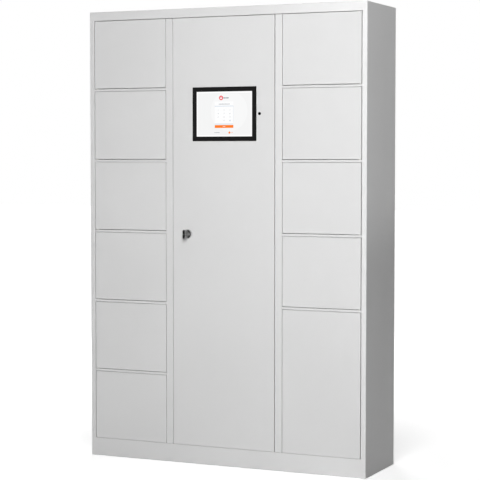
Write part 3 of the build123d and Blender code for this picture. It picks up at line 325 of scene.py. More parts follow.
class Finish(Nodes):
    """A node material. Its patterns read Object coordinates, so they stay on the piece as it moves."""

    def __init__(self, name, **sockets):
        self.material = bpy.data.materials.new(name)
        self.material.use_nodes = True
        super().__init__(self.material.node_tree)
        self.shader = self.tree.nodes["Principled BSDF"]
        self.place = self.node("ShaderNodeTexCoord").outputs["Object"]
        for socket, value in sockets.items():
            self.put(socket.replace("_", " "), value)

    def put(self, socket, value):
        """Set one of the shader's own sockets."""
        self.join(self.shader.inputs[socket], value)

    def spread(self, stretch=(1, 1, 1), centre=(0, 0, 0)):
        """Object coordinates taken from a centre and stretched along the axes."""
        return self.vector("MULTIPLY", self.vector("SUBTRACT", self.place, centre), stretch)

    def noise(self, size, detail=2.0, stretch=(1, 1, 1)):
        """Noise between 0 and 1 whose patches are about as wide as size, in metres."""
        return self.node("ShaderNodeTexNoise", {"Vector": self.spread(stretch), "Scale": 1 / size,
                                                "Detail": detail}).outputs[0]

    def between(self, fraction, low, high):
        """Number that runs from low to high over the middle half of a pattern."""
        return self.mapped(fraction, 0.25, 0.75, low, high)

    def shades(self, fraction, base, low, high):
        """Colour whose brightness runs from low to high times the base colour."""
        return self.mix(self.between(fraction, 0, 1), scaled(base, low), scaled(base, high))

    def mix(self, fraction, a, b):
        """Colour mixed from a to b."""
        mixed = self.node("ShaderNodeMix", data_type="RGBA")
        for index, value in ((0, fraction), (6, a), (7, b)):
            self.join(mixed.inputs[index], value)
        return mixed.outputs[2]

    def bump(self, *layers):
        """Bump from (height pattern, depth in metres) layers, one on top of the other."""
        normal = None
        for height, depth in layers:
            links = {"Height": height, "Distance": depth, "Strength": 1.0}
            if normal:
                links["Normal"] = normal
            normal = self.node("ShaderNodeBump", links).outputs[0]
        self.put("Normal", normal)

    def axis(self, index):
        """One of the Object coordinates."""
        return self.node("ShaderNodeSeparateXYZ", {0: self.place}).outputs[index]

    def ramp(self, index, start, end):
        """0 before a place on one axis, 1 past another, and even between them."""
        return self.maths("DIVIDE", self.maths("SUBTRACT", self.axis(index), start), end - start, clamp=True)

    def round_mask(self, centre, full, none):
        """1 nearer than full to an axis along Y through the centre, falling to 0 at none."""
        reach = self.vector("LENGTH", self.spread((1, 0, 1), centre), result="Value")
        return self.mapped(reach, full, none, 1.0, 0.0)

    def inside(self, low, high, edge):
        """1 inside an upright box of X and Z, 0 outside, with an edge that thin."""
        masks = []
        for index, (start, end) in zip((0, 2), zip(low, high)):
            reach = self.maths("ABSOLUTE", self.maths("SUBTRACT", self.axis(index), (start + end) / 2))
            gap = self.maths("SUBTRACT", (end - start) / 2, reach)
            masks.append(self.maths("DIVIDE", gap, edge, clamp=True))
        return self.maths("MULTIPLY", *masks)


def scaled(base, factor):
    """A colour times a factor, at most white."""
    return [min(1, value * factor) for value in base]


def powder_coat(name, base, settings, pale=0.0):
    """Fine-textured powder coat: small grain over soft waves, with faint clouds of tone and gloss.

    Where pale isn't 0, a painted highlight makes the front paler by up to that share: ramp of X times the sum
    of a constant and a ramp of Z, on the front skin alone.
    """
    coat = Finish(name, Specular_IOR_Level=settings.gloss)
    tone = coat.shades(coat.noise(0.35, 3), base, 0.975, 1.01)
    # Painted highlight: the front skin and the corner's bend are painted paler towards the upper right.
    if pale:
        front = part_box("right_side_panel")[0][1]
        skin = coat.ramp(1, front + PAINTED_HIGHLIGHT_DEPTH[1], front + PAINTED_HIGHLIGHT_DEPTH[0])
        rise = coat.maths("MULTIPLY_ADD", coat.ramp(2, *PAINTED_HIGHLIGHT_UP), 1 - PAINTED_HIGHLIGHT_LEVEL, PAINTED_HIGHLIGHT_LEVEL)
        corner = coat.maths("MULTIPLY", coat.maths("MULTIPLY", coat.ramp(0, *PAINTED_HIGHLIGHT_ACROSS), rise), skin)
        tone = coat.mix(corner, tone, scaled(base, 1 + pale))
    coat.put("Base Color", tone)
    low, high = settings.roughness - 0.05, settings.roughness + 0.05
    coat.put("Roughness", coat.between(coat.noise(0.05, 3), low, high))
    coat.bump((coat.noise(settings.peel, 1), 0.00006), (coat.noise(settings.grain, 2), 0.00003))
    return coat.material


def zinc_plate(name, base):
    """Bright zinc plate: cloudy tone, and fine marks along the length of rods and clips."""
    plate = Finish(name, Metallic=1.0)
    plate.put("Base Color", plate.shades(plate.noise(0.012, 3), base, 0.82, 1.12))
    marks = plate.noise(0.0009, 2, stretch=(1, 1, 0.06))
    plate.put("Roughness", plate.between(marks, 0.28, 0.42))
    plate.bump((marks, 0.00001))
    return plate.material


def galvanised(name, base):
    """Galvanised sheet: spangle cells of slightly different tone and gloss."""
    sheet = Finish(name, Metallic=1.0)
    cells = sheet.node("ShaderNodeTexVoronoi", {"Vector": sheet.place, "Scale": 1 / 0.011}).outputs["Color"]
    tone = sheet.node("ShaderNodeSeparateColor", {0: cells}).outputs[0]
    sheet.put("Base Color", sheet.shades(tone, base, 0.86, 1.14))
    sheet.put("Roughness", sheet.between(tone, 0.36, 0.5))
    sheet.bump((sheet.noise(0.0006, 2), 0.000006))
    return sheet.material


def cast_aluminium(name, base):
    """Plain rolled aluminium: long soft grain across the piece."""
    metal = Finish(name, Metallic=1.0)
    grain = metal.noise(0.0007, 3, stretch=(0.05, 1, 1))
    metal.put("Base Color", metal.shades(grain, base, 0.93, 1.05))
    metal.put("Roughness", metal.between(grain, 0.34, 0.46))
    metal.bump((grain, 0.000008))
    return metal.material


def turned_metal(name, base, centre, painted_shade_ring=None):
    """Satin chrome with fine rings turned round an axis along Y, and a black ring of painted shade between
    two radii.
    """
    metal = Finish(name, Metallic=1.0)
    flat = metal.spread((1, 0, 1), centre)
    rings = metal.node("ShaderNodeTexWave", {"Vector": flat, "Scale": 260, "Distortion": 0.6, "Detail": 1.0},
                       wave_type="RINGS", rings_direction="SPHERICAL").outputs["Fac"]
    tone = metal.shades(metal.noise(0.01), base, 0.94, 1.05)
    # Painted shade: the ring is darkened to 6 % of the base colour, where the knob's grip shades the rosette.
    if painted_shade_ring:
        soft = 0.0003
        ring = metal.maths("SUBTRACT", metal.round_mask(centre, painted_shade_ring[1], painted_shade_ring[1] + soft),
                           metal.round_mask(centre, painted_shade_ring[0] - soft, painted_shade_ring[0]))
        tone = metal.mix(ring, tone, scaled(base, 0.06))
    metal.put("Base Color", tone)
    metal.put("Roughness", metal.between(rings, 0.24, 0.34))
    metal.bump((rings, 0.000003))
    return metal.material


def moulded(name, base, grain=0.0006, roughness=0.45, depth=0.00002, gloss=0.5):
    """Moulded plastic or rubber with a fine spark-eroded grain."""
    plastic = Finish(name, Specular_IOR_Level=gloss)
    spots = plastic.noise(grain, 2)
    plastic.put("Base Color", plastic.shades(plastic.noise(0.02, 2), base, 0.88, 1.12))
    plastic.put("Roughness", plastic.between(spots, roughness - 0.06, roughness + 0.06))
    plastic.bump((spots, depth))
    return plastic.material


def circuit_board(name, base):
    """Solder mask over copper tracks: raised lighter lines on a square grid, broken up by patches."""
    mask = Finish(name, Coat_Weight=0.4)
    tracks = mask.node("ShaderNodeTexBrick", {"Vector": mask.node("ShaderNodeCombineXYZ", {
        0: mask.axis(0), 1: mask.axis(2)}).outputs[0], "Scale": 1.0, "Mortar Size": 0.0005,
        "Brick Width": 0.023, "Row Height": 0.0032, "Color1": (0, 0, 0), "Color2": (0, 0, 0),
        "Mortar": (1, 1, 1)}).outputs["Color"]
    patches = mask.maths("GREATER_THAN", mask.noise(0.02, 0), 0.5)
    lines = mask.maths("MULTIPLY", tracks, patches)
    light = [min(1, value * 1.9 + 0.01) for value in base]
    mask.put("Base Color", mask.mix(lines, base, light))
    mask.put("Roughness", mask.between(mask.noise(0.004), 0.3, 0.42))
    mask.bump((lines, 0.00003))
    return mask.material


def lit_glass(name, roughness, glow):
    """Black glass that gives its own light."""
    return Finish(name, Roughness=roughness, Base_Color=(0, 0, 0), Specular_IOR_Level=0.25,
                  Emission_Strength=glow)


def lit(name, tint, glow):
    """Glossy lit layer of the screen, with a faint grid of picture cells."""
    layer = lit_glass(name, 0.12, glow)
    cells = layer.node("ShaderNodeTexNoise", {"Vector": layer.place, "Scale": 900.0, "Detail": 0.0})
    layer.put("Emission Color", layer.shades(cells.outputs[0], tint, 0.985, 1.01))
    return layer.material


def lit_page(name, settings, low, high):
    """The screen's page: a white border round a pale page with a large paler disc."""
    page = lit_glass(name, 0.10, settings.glow)
    border = settings.border
    inner = page.inside((low[0] + border, low[2] + border), (high[0] - border, high[2] - border), 0.0006)
    middle = (low + high) / 2
    x, z, radius = PAGE_DISC
    disc = page.round_mask((middle[0] + x, 0, middle[2] + z), radius, PAGE_DISC_END)
    tone = page.mix(disc, settings.page, [min(1, value + 0.030) for value in settings.page])
    tone = page.mix(page.between(page.noise(0.0011, 0), 0.0, 0.02), tone, (0.8, 0.8, 0.82))
    page.put("Emission Color", page.mix(inner, (1, 1, 1), tone))
    return page.material


def wear(node, material):
    """Give a packed node its finish."""
    packed = frame["nodes"][node]
    for slot in packed.material_slots:
        slot.material = material
    if not packed.material_slots:
        packed.data.materials.append(material)


# ---- Surfaces ----------------------------------------------------------------------------------------

def grid_faces(rows, columns, wrap=False):
    """Quads of a grid of rows by columns points. A wrapped grid also joins its last column to its first."""
    row, column = np.meshgrid(np.arange(rows - 1), np.arange(columns if wrap else columns - 1), indexing="ij")
    following = (column + 1) % columns
    corners = (row * columns + column, row * columns + following,
               (row + 1) * columns + following, (row + 1) * columns + column)
    return np.stack(corners, axis=-1).reshape(-1, 4)


def turned(profile, segments=24):
    """Surface of revolution about -Y: (r(s) cos t, -h(s), r(s) sin t) for a profile of (r, h) pairs."""
    radius, height = np.asarray(profile, dtype=float).T
    turn = np.linspace(0, 2 * pi, segments, endpoint=False)
    points = np.stack((np.outer(radius, np.cos(turn)), -np.repeat(height[:, None], segments, axis=1),
                       np.outer(radius, np.sin(turn))), axis=-1)
    return points.reshape(-1, 3), grid_faces(len(radius), segments, wrap=True)


def screw_head(radius, height, recess):
    """Pan head with a cross recess, on a polar grid about -Y.

    Its dome is h(r) = height (1 - 0.35 (r / radius)^4). Inside either arm of the cross, |x| or |z| under half
    the recess's width and r under 0.6 radius, the dome is lowered by half the height over a soft edge.
    """
    rings = np.concatenate(([0.0], np.linspace(0.12, 0.72, 9), (0.86, 0.95, 1.0))) * radius
    turn = np.linspace(0, 2 * pi, 40, endpoint=False)
    x = np.outer(rings, np.cos(turn))
    z = np.outer(rings, np.sin(turn))
    reach = rings[:, None] / radius
    dome = height * (1 - 0.35 * reach ** 4)
    edge = recess * 0.35
    arm = np.clip((recess / 2 - np.minimum(abs(x), abs(z))) / edge + 0.5, 0, 1)
    cross = arm * np.clip((0.6 - reach) / 0.12 + 0.5, 0, 1)
    top = np.stack((x, -(dome - cross * height / 2), z), axis=-1)
    skirt = top[-1:] * (1, 0, 1)
    points = np.concatenate((top, skirt, skirt * 0), axis=0)
    return points.reshape(-1, 3), grid_faces(len(points), len(turn), wrap=True)


def rounded_block(low, high, radius, steps=2):
    """Box with round edges.

    A point q of a box's skin goes to c + radius (q - c) / |q - c|, with c the nearest point of the box less
    the radius.
    """
    low, high = np.asarray(low, float), np.asarray(high, float)
    half = (high - low) / 2
    points, faces = [], []
    count = 0
    for axis in range(3):
        others = [index for index in range(3) if index != axis]
        lines = [np.concatenate((np.linspace(-half[k], radius - half[k], steps + 1),
                                 np.linspace(half[k] - radius, half[k], steps + 1))) for k in others]
        u, v = np.meshgrid(*lines, indexing="ij")
        for side in (-1, 1):
            skin = np.empty(u.shape + (3,))
            skin[..., axis] = side * half[axis]
            skin[..., others[0]], skin[..., others[1]] = u, v
            core = np.clip(skin, radius - half, half - radius)
            out = skin - core
            skin = core + radius * out / np.linalg.norm(out, axis=-1, keepdims=True)
            points.append(skin.reshape(-1, 3))
            faces.append(grid_faces(*u.shape) + count)
            count += u.size
    return np.concatenate(points) + (low + high) / 2, np.concatenate(faces)


def tile_outline(x0, x1, z0, z1, radius, steps=6):
    """Outline of a rounded rectangle: each corner is centre + radius (cos t, sin t) over a quarter turn."""
    quarter = np.linspace(0, pi / 2, steps + 1)
    centres = ((x1 - radius, z1 - radius), (x0 + radius, z1 - radius), (x0 + radius, z0 + radius),
               (x1 - radius, z0 + radius))
    arcs = []
    for corner, (x, z) in enumerate(centres):
        turn = quarter + corner * pi / 2
        arcs.append(np.stack((x + radius * np.cos(turn), z + radius * np.sin(turn)), -1))
    return np.concatenate(arcs)


def tile(outline, front, back):
    """Flat tile with the given outline between two Y planes: rings of the outline drawn in to its middle."""
    middle = outline.mean(axis=0)
    rings = [(0.0, front), (1.0, front), (1.0, back), (0.0, back)]
    points = [np.insert(middle + (outline - middle) * reach, 1, y, axis=1) for reach, y in rings]
    return np.concatenate(points), grid_faces(len(rings), len(outline), wrap=True)


def carried(section, x0, x1):
    """Profile of (y, z) points carried along X from x0 to x1, with both ends closed towards its middle."""
    section = np.asarray(section, float)
    middle = section.mean(axis=0)
    rings = [(x0, 0.0), (x0, 1.0), (x1, 1.0), (x1, 0.0)]
    points = [np.insert(middle + (section - middle) * reach, 0, x, axis=1) for x, reach in rings]
    return np.concatenate(points), grid_faces(len(rings), len(section), wrap=True)


def moved(shape, place):
    """The same surface at another place."""
    return shape[0] + np.asarray(place, float), shape[1]


def turned_to(shape, rows):
    """The same surface with its axes turned by a matrix whose rows are where X, Y and Z go."""
    return shape[0] @ np.asarray(rows, float), shape[1]


def inset(low, high, across, up):
    """The four places (x, z) that far inside the corners of a box's front."""
    return [(x, z) for x in (low[0] + across, high[0] - across) for z in (low[2] + up, high[2] - up)]


def piece(name, shapes, material, body, smooth=True):
    """One object from several surfaces, welded and with its faces outwards, riding on a body."""
    points = np.concatenate([shape[0] for shape in shapes])
    starts = np.cumsum([0] + [len(shape[0]) for shape in shapes[:-1]])
    faces = np.concatenate([shape[1] + start for shape, start in zip(shapes, starts)])
    mesh = bpy.data.meshes.new(name)
    mesh.from_pydata(points.tolist(), [], faces.tolist())
    weld(mesh)
    return show(name, mesh, material, body, smooth)


def weld(mesh):
    """Merge doubled points and turn the faces outwards."""
    shape = bmesh.new()
    shape.from_mesh(mesh)
    bmesh.ops.remove_doubles(shape, verts=shape.verts, dist=1e-7)
    bmesh.ops.dissolve_degenerate(shape, edges=shape.edges, dist=1e-8)
    bmesh.ops.recalc_face_normals(shape, faces=shape.faces)
    shape.to_mesh(mesh)
    shape.free()


def show(name, mesh, material, body, smooth=True):
    """Put a mesh in the scene with its finish, its body and its material slot."""
    mesh.materials.append(material)
    mesh.polygons.foreach_set("use_smooth", np.full(len(mesh.polygons), smooth))
    if smooth:
        mesh.set_sharp_from_angle(angle=SHARP)
    made = bpy.data.objects.new(name, mesh)
    bpy.context.scene.collection.objects.link(made)
    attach(made, body)
    return made


# ---- Operators ---------------------------------------------------------------------------------------

class LOCKER_OT_steel(bpy.types.Operator):
    """Powder coat the frame, the panels and all doors"""
    bl_idname = "locker.steel"
    bl_label = "Powder coat"

    def execute(self, context):
        settings = context.scene.locker_paint
        # The body coat carries the painted highlight at the front's upper right.
        body = powder_coat("body powder coat", settings.body, settings, settings.pale)
        doors = powder_coat("door powder coat", settings.doors, settings)
        for node in BODY_PANELS:
            wear(node, body)
        for node in LOCKERS + ["service_door"]:
            wear(node, doors)
        return {"FINISHED"}


class LOCKER_OT_metal(bpy.types.Operator):
    """Finish the plated, galvanised, turned and bare metal pieces"""
    bl_idname = "locker.metal"
    bl_label = "Metal finishes"

    def execute(self, context):
        settings = context.scene.locker_metal
        zinc = zinc_plate("bright zinc", settings.zinc)
        for node in ["hinge_pins", "rod_keepers", "terminal_clamps", "gear_case", "shaft_nut", "drive_pinion",
                     "upper_rod", "lower_rod"] + BOLTS:
            wear(node, zinc)
        wear("equipment_plate", galvanised("galvanised sheet", settings.galvanised))
        aluminium = cast_aluminium("rolled aluminium", settings.aluminium)
        wear("power_supply", aluminium)
        wear("display_panel", aluminium)
        low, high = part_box("knob_rosette")
        centre = ((low[0] + high[0]) / 2, 0, (low[2] + high[2]) / 2)
        # Painted shade round the knob's neck, 1.8 mm each side of its radius.
        painted_shade_ring = (settings.painted_shade_ring - 0.0018, settings.painted_shade_ring + 0.0018)
        wear("knob_rosette", turned_metal("rosette chrome", settings.rosette, centre, painted_shade_ring))
        wear("turn_knob", turned_metal("satin chrome", settings.knob, centre))
        wear("key_cylinder", zinc_plate("dark nickel", scaled(settings.zinc, 0.15)))
        wear("inlet_blades", cast_aluminium("bright brass", settings.brass))
        return {"FINISHED"}


class LOCKER_OT_plastic(bpy.types.Operator):
    """Finish the moulded, rubber and circuit board pieces"""
    bl_idname = "locker.plastic"
    bl_label = "Plastic finishes"

    def execute(self, context):
        settings = context.scene.locker_plastic
        moulding = moulded("black moulding", settings.moulding)
        for node in ("lock_cases", "sensor_nut", "power_inlet", "lock_relays"):
            wear(node, moulding)
        wear("terminal_housing", moulded("black sheet cover", settings.moulding, 0.0009, 0.5, 0.00003))
        wear("screen_frame", moulded("bezel moulding", settings.bezel, 0.0005, 0.40, 0.000008, 0.1))
        lens = scaled(settings.bezel, 0.2)
        wear("sensor_eye", moulded("dark lens", lens, 0.002, 0.12, 0.000002, 0.04))
        wear("knob_cap", moulded("cap moulding", settings.cap, 0.0005, 0.40, 0.00001, 0.15))
        wear("door_buffers", moulded("soft rubber", settings.rubber, 0.0008, 0.72, 0.00003))
        nylon = moulded("natural nylon", settings.nylon, 0.0007, 0.42)
        wear("hinge_washers", nylon)
        wear("rod_guides", nylon)
        wear("lock_controller", circuit_board("solder mask", settings.board))
        return {"FINISHED"}


class LOCKER_OT_screen(bpy.types.Operator):
    """Light the touch screen with a plain keypad page"""
    bl_idname = "locker.screen"
    bl_label = "Touch screen"

    def execute(self, context):
        settings = context.scene.locker_screen
        low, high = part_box("touch_glass")
        wear("touch_glass", lit_page("lit page", settings, low, high))
        middle = (low + high) / 2
        self.front, self.thick = low[1], settings.layer
        self.x, self.z = middle[0] + PAGE_SHIFT, middle[2]
        glow = settings.glow
        card = lit("lit card", settings.card, glow)
        rule = lit("lit rules", settings.rule, glow)
        half, bottom, top = settings.card_width / 2, -settings.card_bottom, settings.card_top
        self.add("screen_card", [self.slab(-half, half, bottom, top, 0.0022, 0)], card)
        upright = self.slab(half - 0.0008, half, bottom + 0.002, HEAD_BAND[0], 0.0003)
        self.add("screen_rules", [self.slab(-half, half, *HEAD_BAND), upright], rule)
        shelf = [(pale + blue) / 2 for pale, blue in zip(settings.card, settings.rule)]
        self.add("screen_card_edge", [self.slab(-half, half, *SHELF_BAND)], lit("lit card edge", shelf, glow))
        accents = [self.slab(-half, half, *BUTTON_BAND), self.dot(*LAMP_DISC), self.slab(*LAMP_BAR)]
        self.add("screen_accents", accents, lit("lit accent", settings.accent, glow))
        self.add("screen_sign", [self.dot(*SIGN_DISC)], lit("lit sign", settings.sign, glow))
        self.add("screen_pale_marks", self.padlock() + [self.slab(*BUTTON_BAR, 2)], card)
        x, z, radius = ROW_DISC
        marks = [self.dot(x + ROW_PITCH * step, z, radius) for step in range(ROW_COUNT)]
        marks += [self.slab(*bar) for bar in TITLE_BARS]
        self.add("screen_marks", marks, lit("lit marks", scaled(settings.digit, 0.85), glow))
        self.digits(settings, lit("lit digits", settings.digit, glow))
        self.back_key(settings, rule)
        return {"FINISHED"}

    def slab(self, x0, x1, z0, z1, radius, level=1):
        """Thin rounded tile on the page, placed from the screen's centre."""
        outline = tile_outline(self.x + x0, self.x + x1, self.z + z0, self.z + z1, radius)
        return tile(outline, self.front - (level + 1) * self.thick, self.front - level * self.thick)

    def dot(self, x, z, radius, level=1):
        """Thin round tile on the page."""
        turn = np.linspace(0, 2 * pi, 32, endpoint=False)
        outline = np.stack((self.x + x + radius * np.cos(turn), self.z + z + radius * np.sin(turn)), -1)
        return tile(outline, self.front - (level + 1) * self.thick, self.front - level * self.thick)

    def padlock(self):
        """Body and bow of the small padlock on its round sign."""
        x, z = SIGN_DISC[:2]
        left, right, bottom, top, corner = PADLOCK_BODY
        rise, outer, inner = PADLOCK_BOW
        return [self.slab(x + left, x + right, z + bottom, z + top, corner, 2),
                self.arch(x, z + rise, outer, inner, 2)]

    def arch(self, x, z, outer, inner, level):
        """Thin half ring c + r (cos t, sin t) on two short legs, the bow of a padlock."""
        turn = np.linspace(0, pi, 17)
        along = np.concatenate(([turn[0]], turn, [turn[-1]]))
        rise = np.full(along.shape, outer / 2)
        rise[[0, -1]] = 0
        rails = []
        for radius, y in ((outer, 1), (inner, 1), (inner, 0), (outer, 0)):
            rails.append(np.stack((self.x + x + radius * np.cos(along),
                                   np.full(along.shape, self.front - (level + y) * self.thick),
                                   self.z + z + rise + radius * np.sin(along)), -1))
        rows = np.stack(rails, axis=1)
        rows = np.concatenate((rows[:1] * 0 + rows[:1].mean(axis=1, keepdims=True), rows,
                               rows[-1:] * 0 + rows[-1:].mean(axis=1, keepdims=True)))
        return rows.reshape(-1, 3), grid_faces(len(rows), 4, wrap=True)

    def add(self, name, shapes, material):
        """Show tiles as one piece on the service door."""
        piece(name, shapes, material, "service_door", smooth=False)

    def digits(self, settings, material):
        """Keypad digits, three to a row, as thin raised figures."""
        mesh = bpy.data.meshes.new("screen_digits")
        whole = bmesh.new()
        for index, figure in enumerate("123456789 0"):
            if figure == " ":
                continue
            x = self.x + (index % 3 - 1) * settings.key_pitch_x
            z = self.z + settings.key_top - (index // 3) * settings.key_pitch_z
            text = bpy.data.curves.new("key", "FONT")
            text.body, text.size, text.extrude = figure, settings.digit_height, self.thick / 2
            text.align_x, text.align_y = "CENTER", "CENTER"
            holder = bpy.data.objects.new("key", text)
            flat = bpy.data.meshes.new_from_object(holder)
            points = np.empty(len(flat.vertices) * 3, dtype=np.float32)
            flat.vertices.foreach_get("co", points)
            across, up, out = points.reshape(-1, 3).T
            placed = np.stack((x + across, self.front - 1.5 * self.thick - out, z + up), -1)
            flat.vertices.foreach_set("co", placed.astype(np.float32).ravel())
            whole.from_mesh(flat)
            bpy.data.objects.remove(holder)
        whole.to_mesh(mesh)
        whole.free()
        weld(mesh)
        show("screen_digits", mesh, material, "service_door", smooth=False)

    def back_key(self, settings, material):
        """Arrow of the last key, at the end of the last row."""
        x = self.x + settings.key_pitch_x
        z = self.z + settings.key_top - 3 * settings.key_pitch_z
        reach = settings.digit_height * 0.42
        arrow = np.array(((x - reach * 1.3, z), (x - reach * 0.4, z - reach), (x + reach * 1.2, z - reach),
                          (x + reach * 1.2, z + reach), (x - reach * 0.4, z + reach)))
        shape = tile(arrow[::-1], self.front - 2 * self.thick, self.front - self.thick)
        piece("screen_back_key", [shape], material, "service_door", smooth=False)


class LOCKER_OT_screws(bpy.types.Operator):
    """Fit screws to the lock cases, clamps, gear case, equipment plate, controller board and mains inlet"""
    bl_idname = "locker.screws"
    bl_label = "Screws"

    def execute(self, context):
        settings = context.scene.locker_fixings
        head = screw_head(settings.head_radius, settings.head_height, settings.recess)
        flat = screw_head(settings.head_radius, settings.flat_height, settings.recess)
        zinc = zinc_plate("screw zinc", context.scene.locker_metal.zinc)
        piece("lock_case_screws", self.lock_cases(head), zinc, "cabinet")

        rear = np.diag((1, -1, 1))
        from_behind = turned_to(head, rear)
        low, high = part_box("terminal_clamps")
        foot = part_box("service_door")[0][1] + 0.0032
        door = [moved(from_behind, (x, foot, z)) for x, z in inset(low, high, 0.006, 0.009)]
        low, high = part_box("gear_case")
        door += [moved(from_behind, (x, high[1], z)) for x, z in inset(low, high, 0.0045, 0.0045)]
        piece("service_door_screws", door, zinc, "service_door")

        low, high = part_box("equipment_plate")
        heights = (low[2] + 0.03, (low[2] + high[2]) / 2, high[2] - 0.03)
        fixed = [moved(head, (x, high[1] - 0.0015, z))
                 for x in (low[0] + 0.007, high[0] - 0.007) for z in heights]
        low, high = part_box("lock_controller")
        fixed += [moved(head, (x, low[1], z)) for x, z in inset(low, high, 0.008, 0.008)]
        low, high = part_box("power_inlet")
        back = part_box("back_panel")[1][1]
        fixed += [moved(turned_to(flat, rear), (x, back, (low[2] + high[2]) / 2))
                  for x in (low[0] + 0.0055, high[0] - 0.0055)]
        piece("cabinet_screws", fixed, zinc, "cabinet")
        return {"FINISHED"}

    def lock_cases(self, head):
        """Four heads on the open face of each lock case, two before its bolt and two behind."""
        places = []
        rear_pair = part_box("lock_cases")[0][1] + 0.052
        for name in LOCKERS:
            low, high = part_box(name.replace("_door_", "_lock_bolt_"))
            middle = (low[2] + high[2]) / 2
            side = 1 if low[0] < 0 else -1
            sideways = turned_to(head, ((0, 0, 1), (-side, 0, 0), (0, side, 0)))
            for y in (low[1] - 0.008, rear_pair):
                for height in (-0.015, 0.015):
                    places.append(moved(sideways, (-side * LOCK_FACE, y, middle + height)))
        return places


class LOCKER_OT_board(bpy.types.Operator):
    """Fit terminals, chips, capacitors and lamps to the controller board"""
    bl_idname = "locker.board"
    bl_label = "Board parts"

    def execute(self, context):
        plastic = context.scene.locker_plastic
        low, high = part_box("lock_controller")
        face, middle = low[1], (low[2] + high[2]) / 2
        green = moulded("terminal moulding", plastic.terminal, 0.0006, 0.4)
        dark = moulded("chip moulding", plastic.moulding, 0.0003, 0.55, 0.000006)
        tin = zinc_plate("tinned pins", (0.75, 0.75, 0.74))
        self.terminals(low, high, context.scene.locker_fixings.terminal_pitch, green, dark, tin)
        self.chips(face, middle, dark, tin)

        sleeve = moulded("capacitor sleeve", (0.02, 0.03, 0.06), 0.001, 0.3)
        cans = [moved(turned(CAN, 28), (x, face, middle + 0.001)) for x in CAN_PLACES]
        piece("board_capacitors", cans, sleeve, "cabinet")
        tops = [moved(turned(CAN_TOP, 28), (x, face - 0.0101, middle + 0.001)) for x in CAN_PLACES]
        piece("board_capacitor_tops", tops, tin, "cabinet")
        lens = moulded("lamp lens", (0.05, 0.45, 0.08), 0.001, 0.2)
        lamps = [moved(turned(LAMP, 16), (-0.080 + 0.0095 * step, face, middle - 0.0195 + 0.0395 * row))
                 for row in (0, 1) for step in range(6)]
        piece("board_lamps", lamps, lens, "cabinet")
        return {"FINISHED"}

    def terminals(self, low, high, pitch, green, dark, tin):
        """Terminal blocks along the board's upper and lower edges, with a screw and a mouth to each way."""
        face = low[1]
        head = screw_head(0.0017, 0.0008, 0.0006)
        blocks, screws, mouths = [], [], []
        for up, edge in ((1, high[2] - 0.001), (-1, low[2] + 0.001)):
            section = [(face - out, edge - up * down) for out, down in TERMINAL_SECTION]
            bottom, top = sorted((edge, edge + up * 0.0003))
            for ways, left in ((12, low[0] + 0.022), (6, high[0] - 0.056)):
                blocks.append(carried(section, left, left + ways * pitch))
                for x in (left + (way + 0.5) * pitch for way in range(ways)):
                    screws.append(moved(head, (x, face - 0.0120, edge - up * 0.0045)))
                    mouths.append(rounded_block((x - 0.0016, face - 0.0065, bottom),
                                                (x + 0.0016, face - 0.0033, top), 0.0001, 1))
        piece("board_terminals", blocks, green, "cabinet")
        piece("board_terminal_screws", screws, tin, "cabinet")
        piece("board_terminal_mouths", mouths, dark, "cabinet")

    def chips(self, face, middle, dark, tin):
        """A large chip with legs on all four sides, and a small one."""
        blocks = [rounded_block((left, face - 0.0016, middle + bottom),
                                (right, face - 0.0002, middle + top), 0.0003)
                  for left, right, bottom, top in CHIPS]
        piece("board_chips", blocks, dark, "cabinet")
        across, up = CHIP_CENTRE[0], middle + CHIP_CENTRE[1]
        legs = []
        for step in range(CHIP_LEGS):
            offset = (step - (CHIP_LEGS - 1) / 2) * LEG_PITCH
            for out in (-LEG_REACH, LEG_REACH):
                legs.append(self.leg(across + offset, face, up + out, 0.0002, 0.0011))
                legs.append(self.leg(across + out, face, up + offset, 0.0011, 0.0002))
        piece("board_chip_legs", legs, tin, "cabinet")

    def leg(self, x, face, z, half_x, half_z):
        """Flat leg of a chip on the board's face."""
        return rounded_block((x - half_x, face - 0.0007, z - half_z),
                             (x + half_x, face, z + half_z), 0.0001, 1)


class LOCKER_OT_supply(bpy.types.Operator):
    """Fit the terminal strip to the power supply"""
    bl_idname = "locker.supply"
    bl_label = "Supply terminals"

    def execute(self, context):
        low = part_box("power_supply")[0]
        black = moulded("strip moulding", context.scene.locker_plastic.moulding, 0.0006, 0.45)
        tin = zinc_plate("strip screws", context.scene.locker_metal.zinc)
        left, front, bottom = -STRIP_PITCH * STRIP_WAYS / 2, low[1], low[2] + 0.004
        right, top = left + STRIP_PITCH * STRIP_WAYS, bottom + 0.015
        strip = [rounded_block((left - 0.001, front - 0.004, bottom),
                               (right + 0.001, front + 0.0001, top), 0.0006)]
        for x in (left + STRIP_PITCH * way for way in range(STRIP_WAYS + 1)):
            strip.append(rounded_block((x - 0.0007, front - 0.0095, bottom),
                                       (x + 0.0007, front - 0.0035, top), 0.0004))
        piece("supply_strip", strip, black, "cabinet")
        head = screw_head(0.0031, 0.0018, 0.0010)
        middles = [left + STRIP_PITCH * (way + 0.5) for way in range(STRIP_WAYS)]
        heads = [moved(head, (x, front - 0.0048, bottom + 0.0075)) for x in middles]
        piece("supply_strip_screws", heads, tin, "cabinet")
        clamps = [rounded_block((x - 0.0036, front - 0.0050, bottom + 0.0035),
                                (x + 0.0036, front - 0.0038, bottom + 0.0115), 0.0004) for x in middles]
        piece("supply_strip_clamps", clamps, tin, "cabinet")
        return {"FINISHED"}


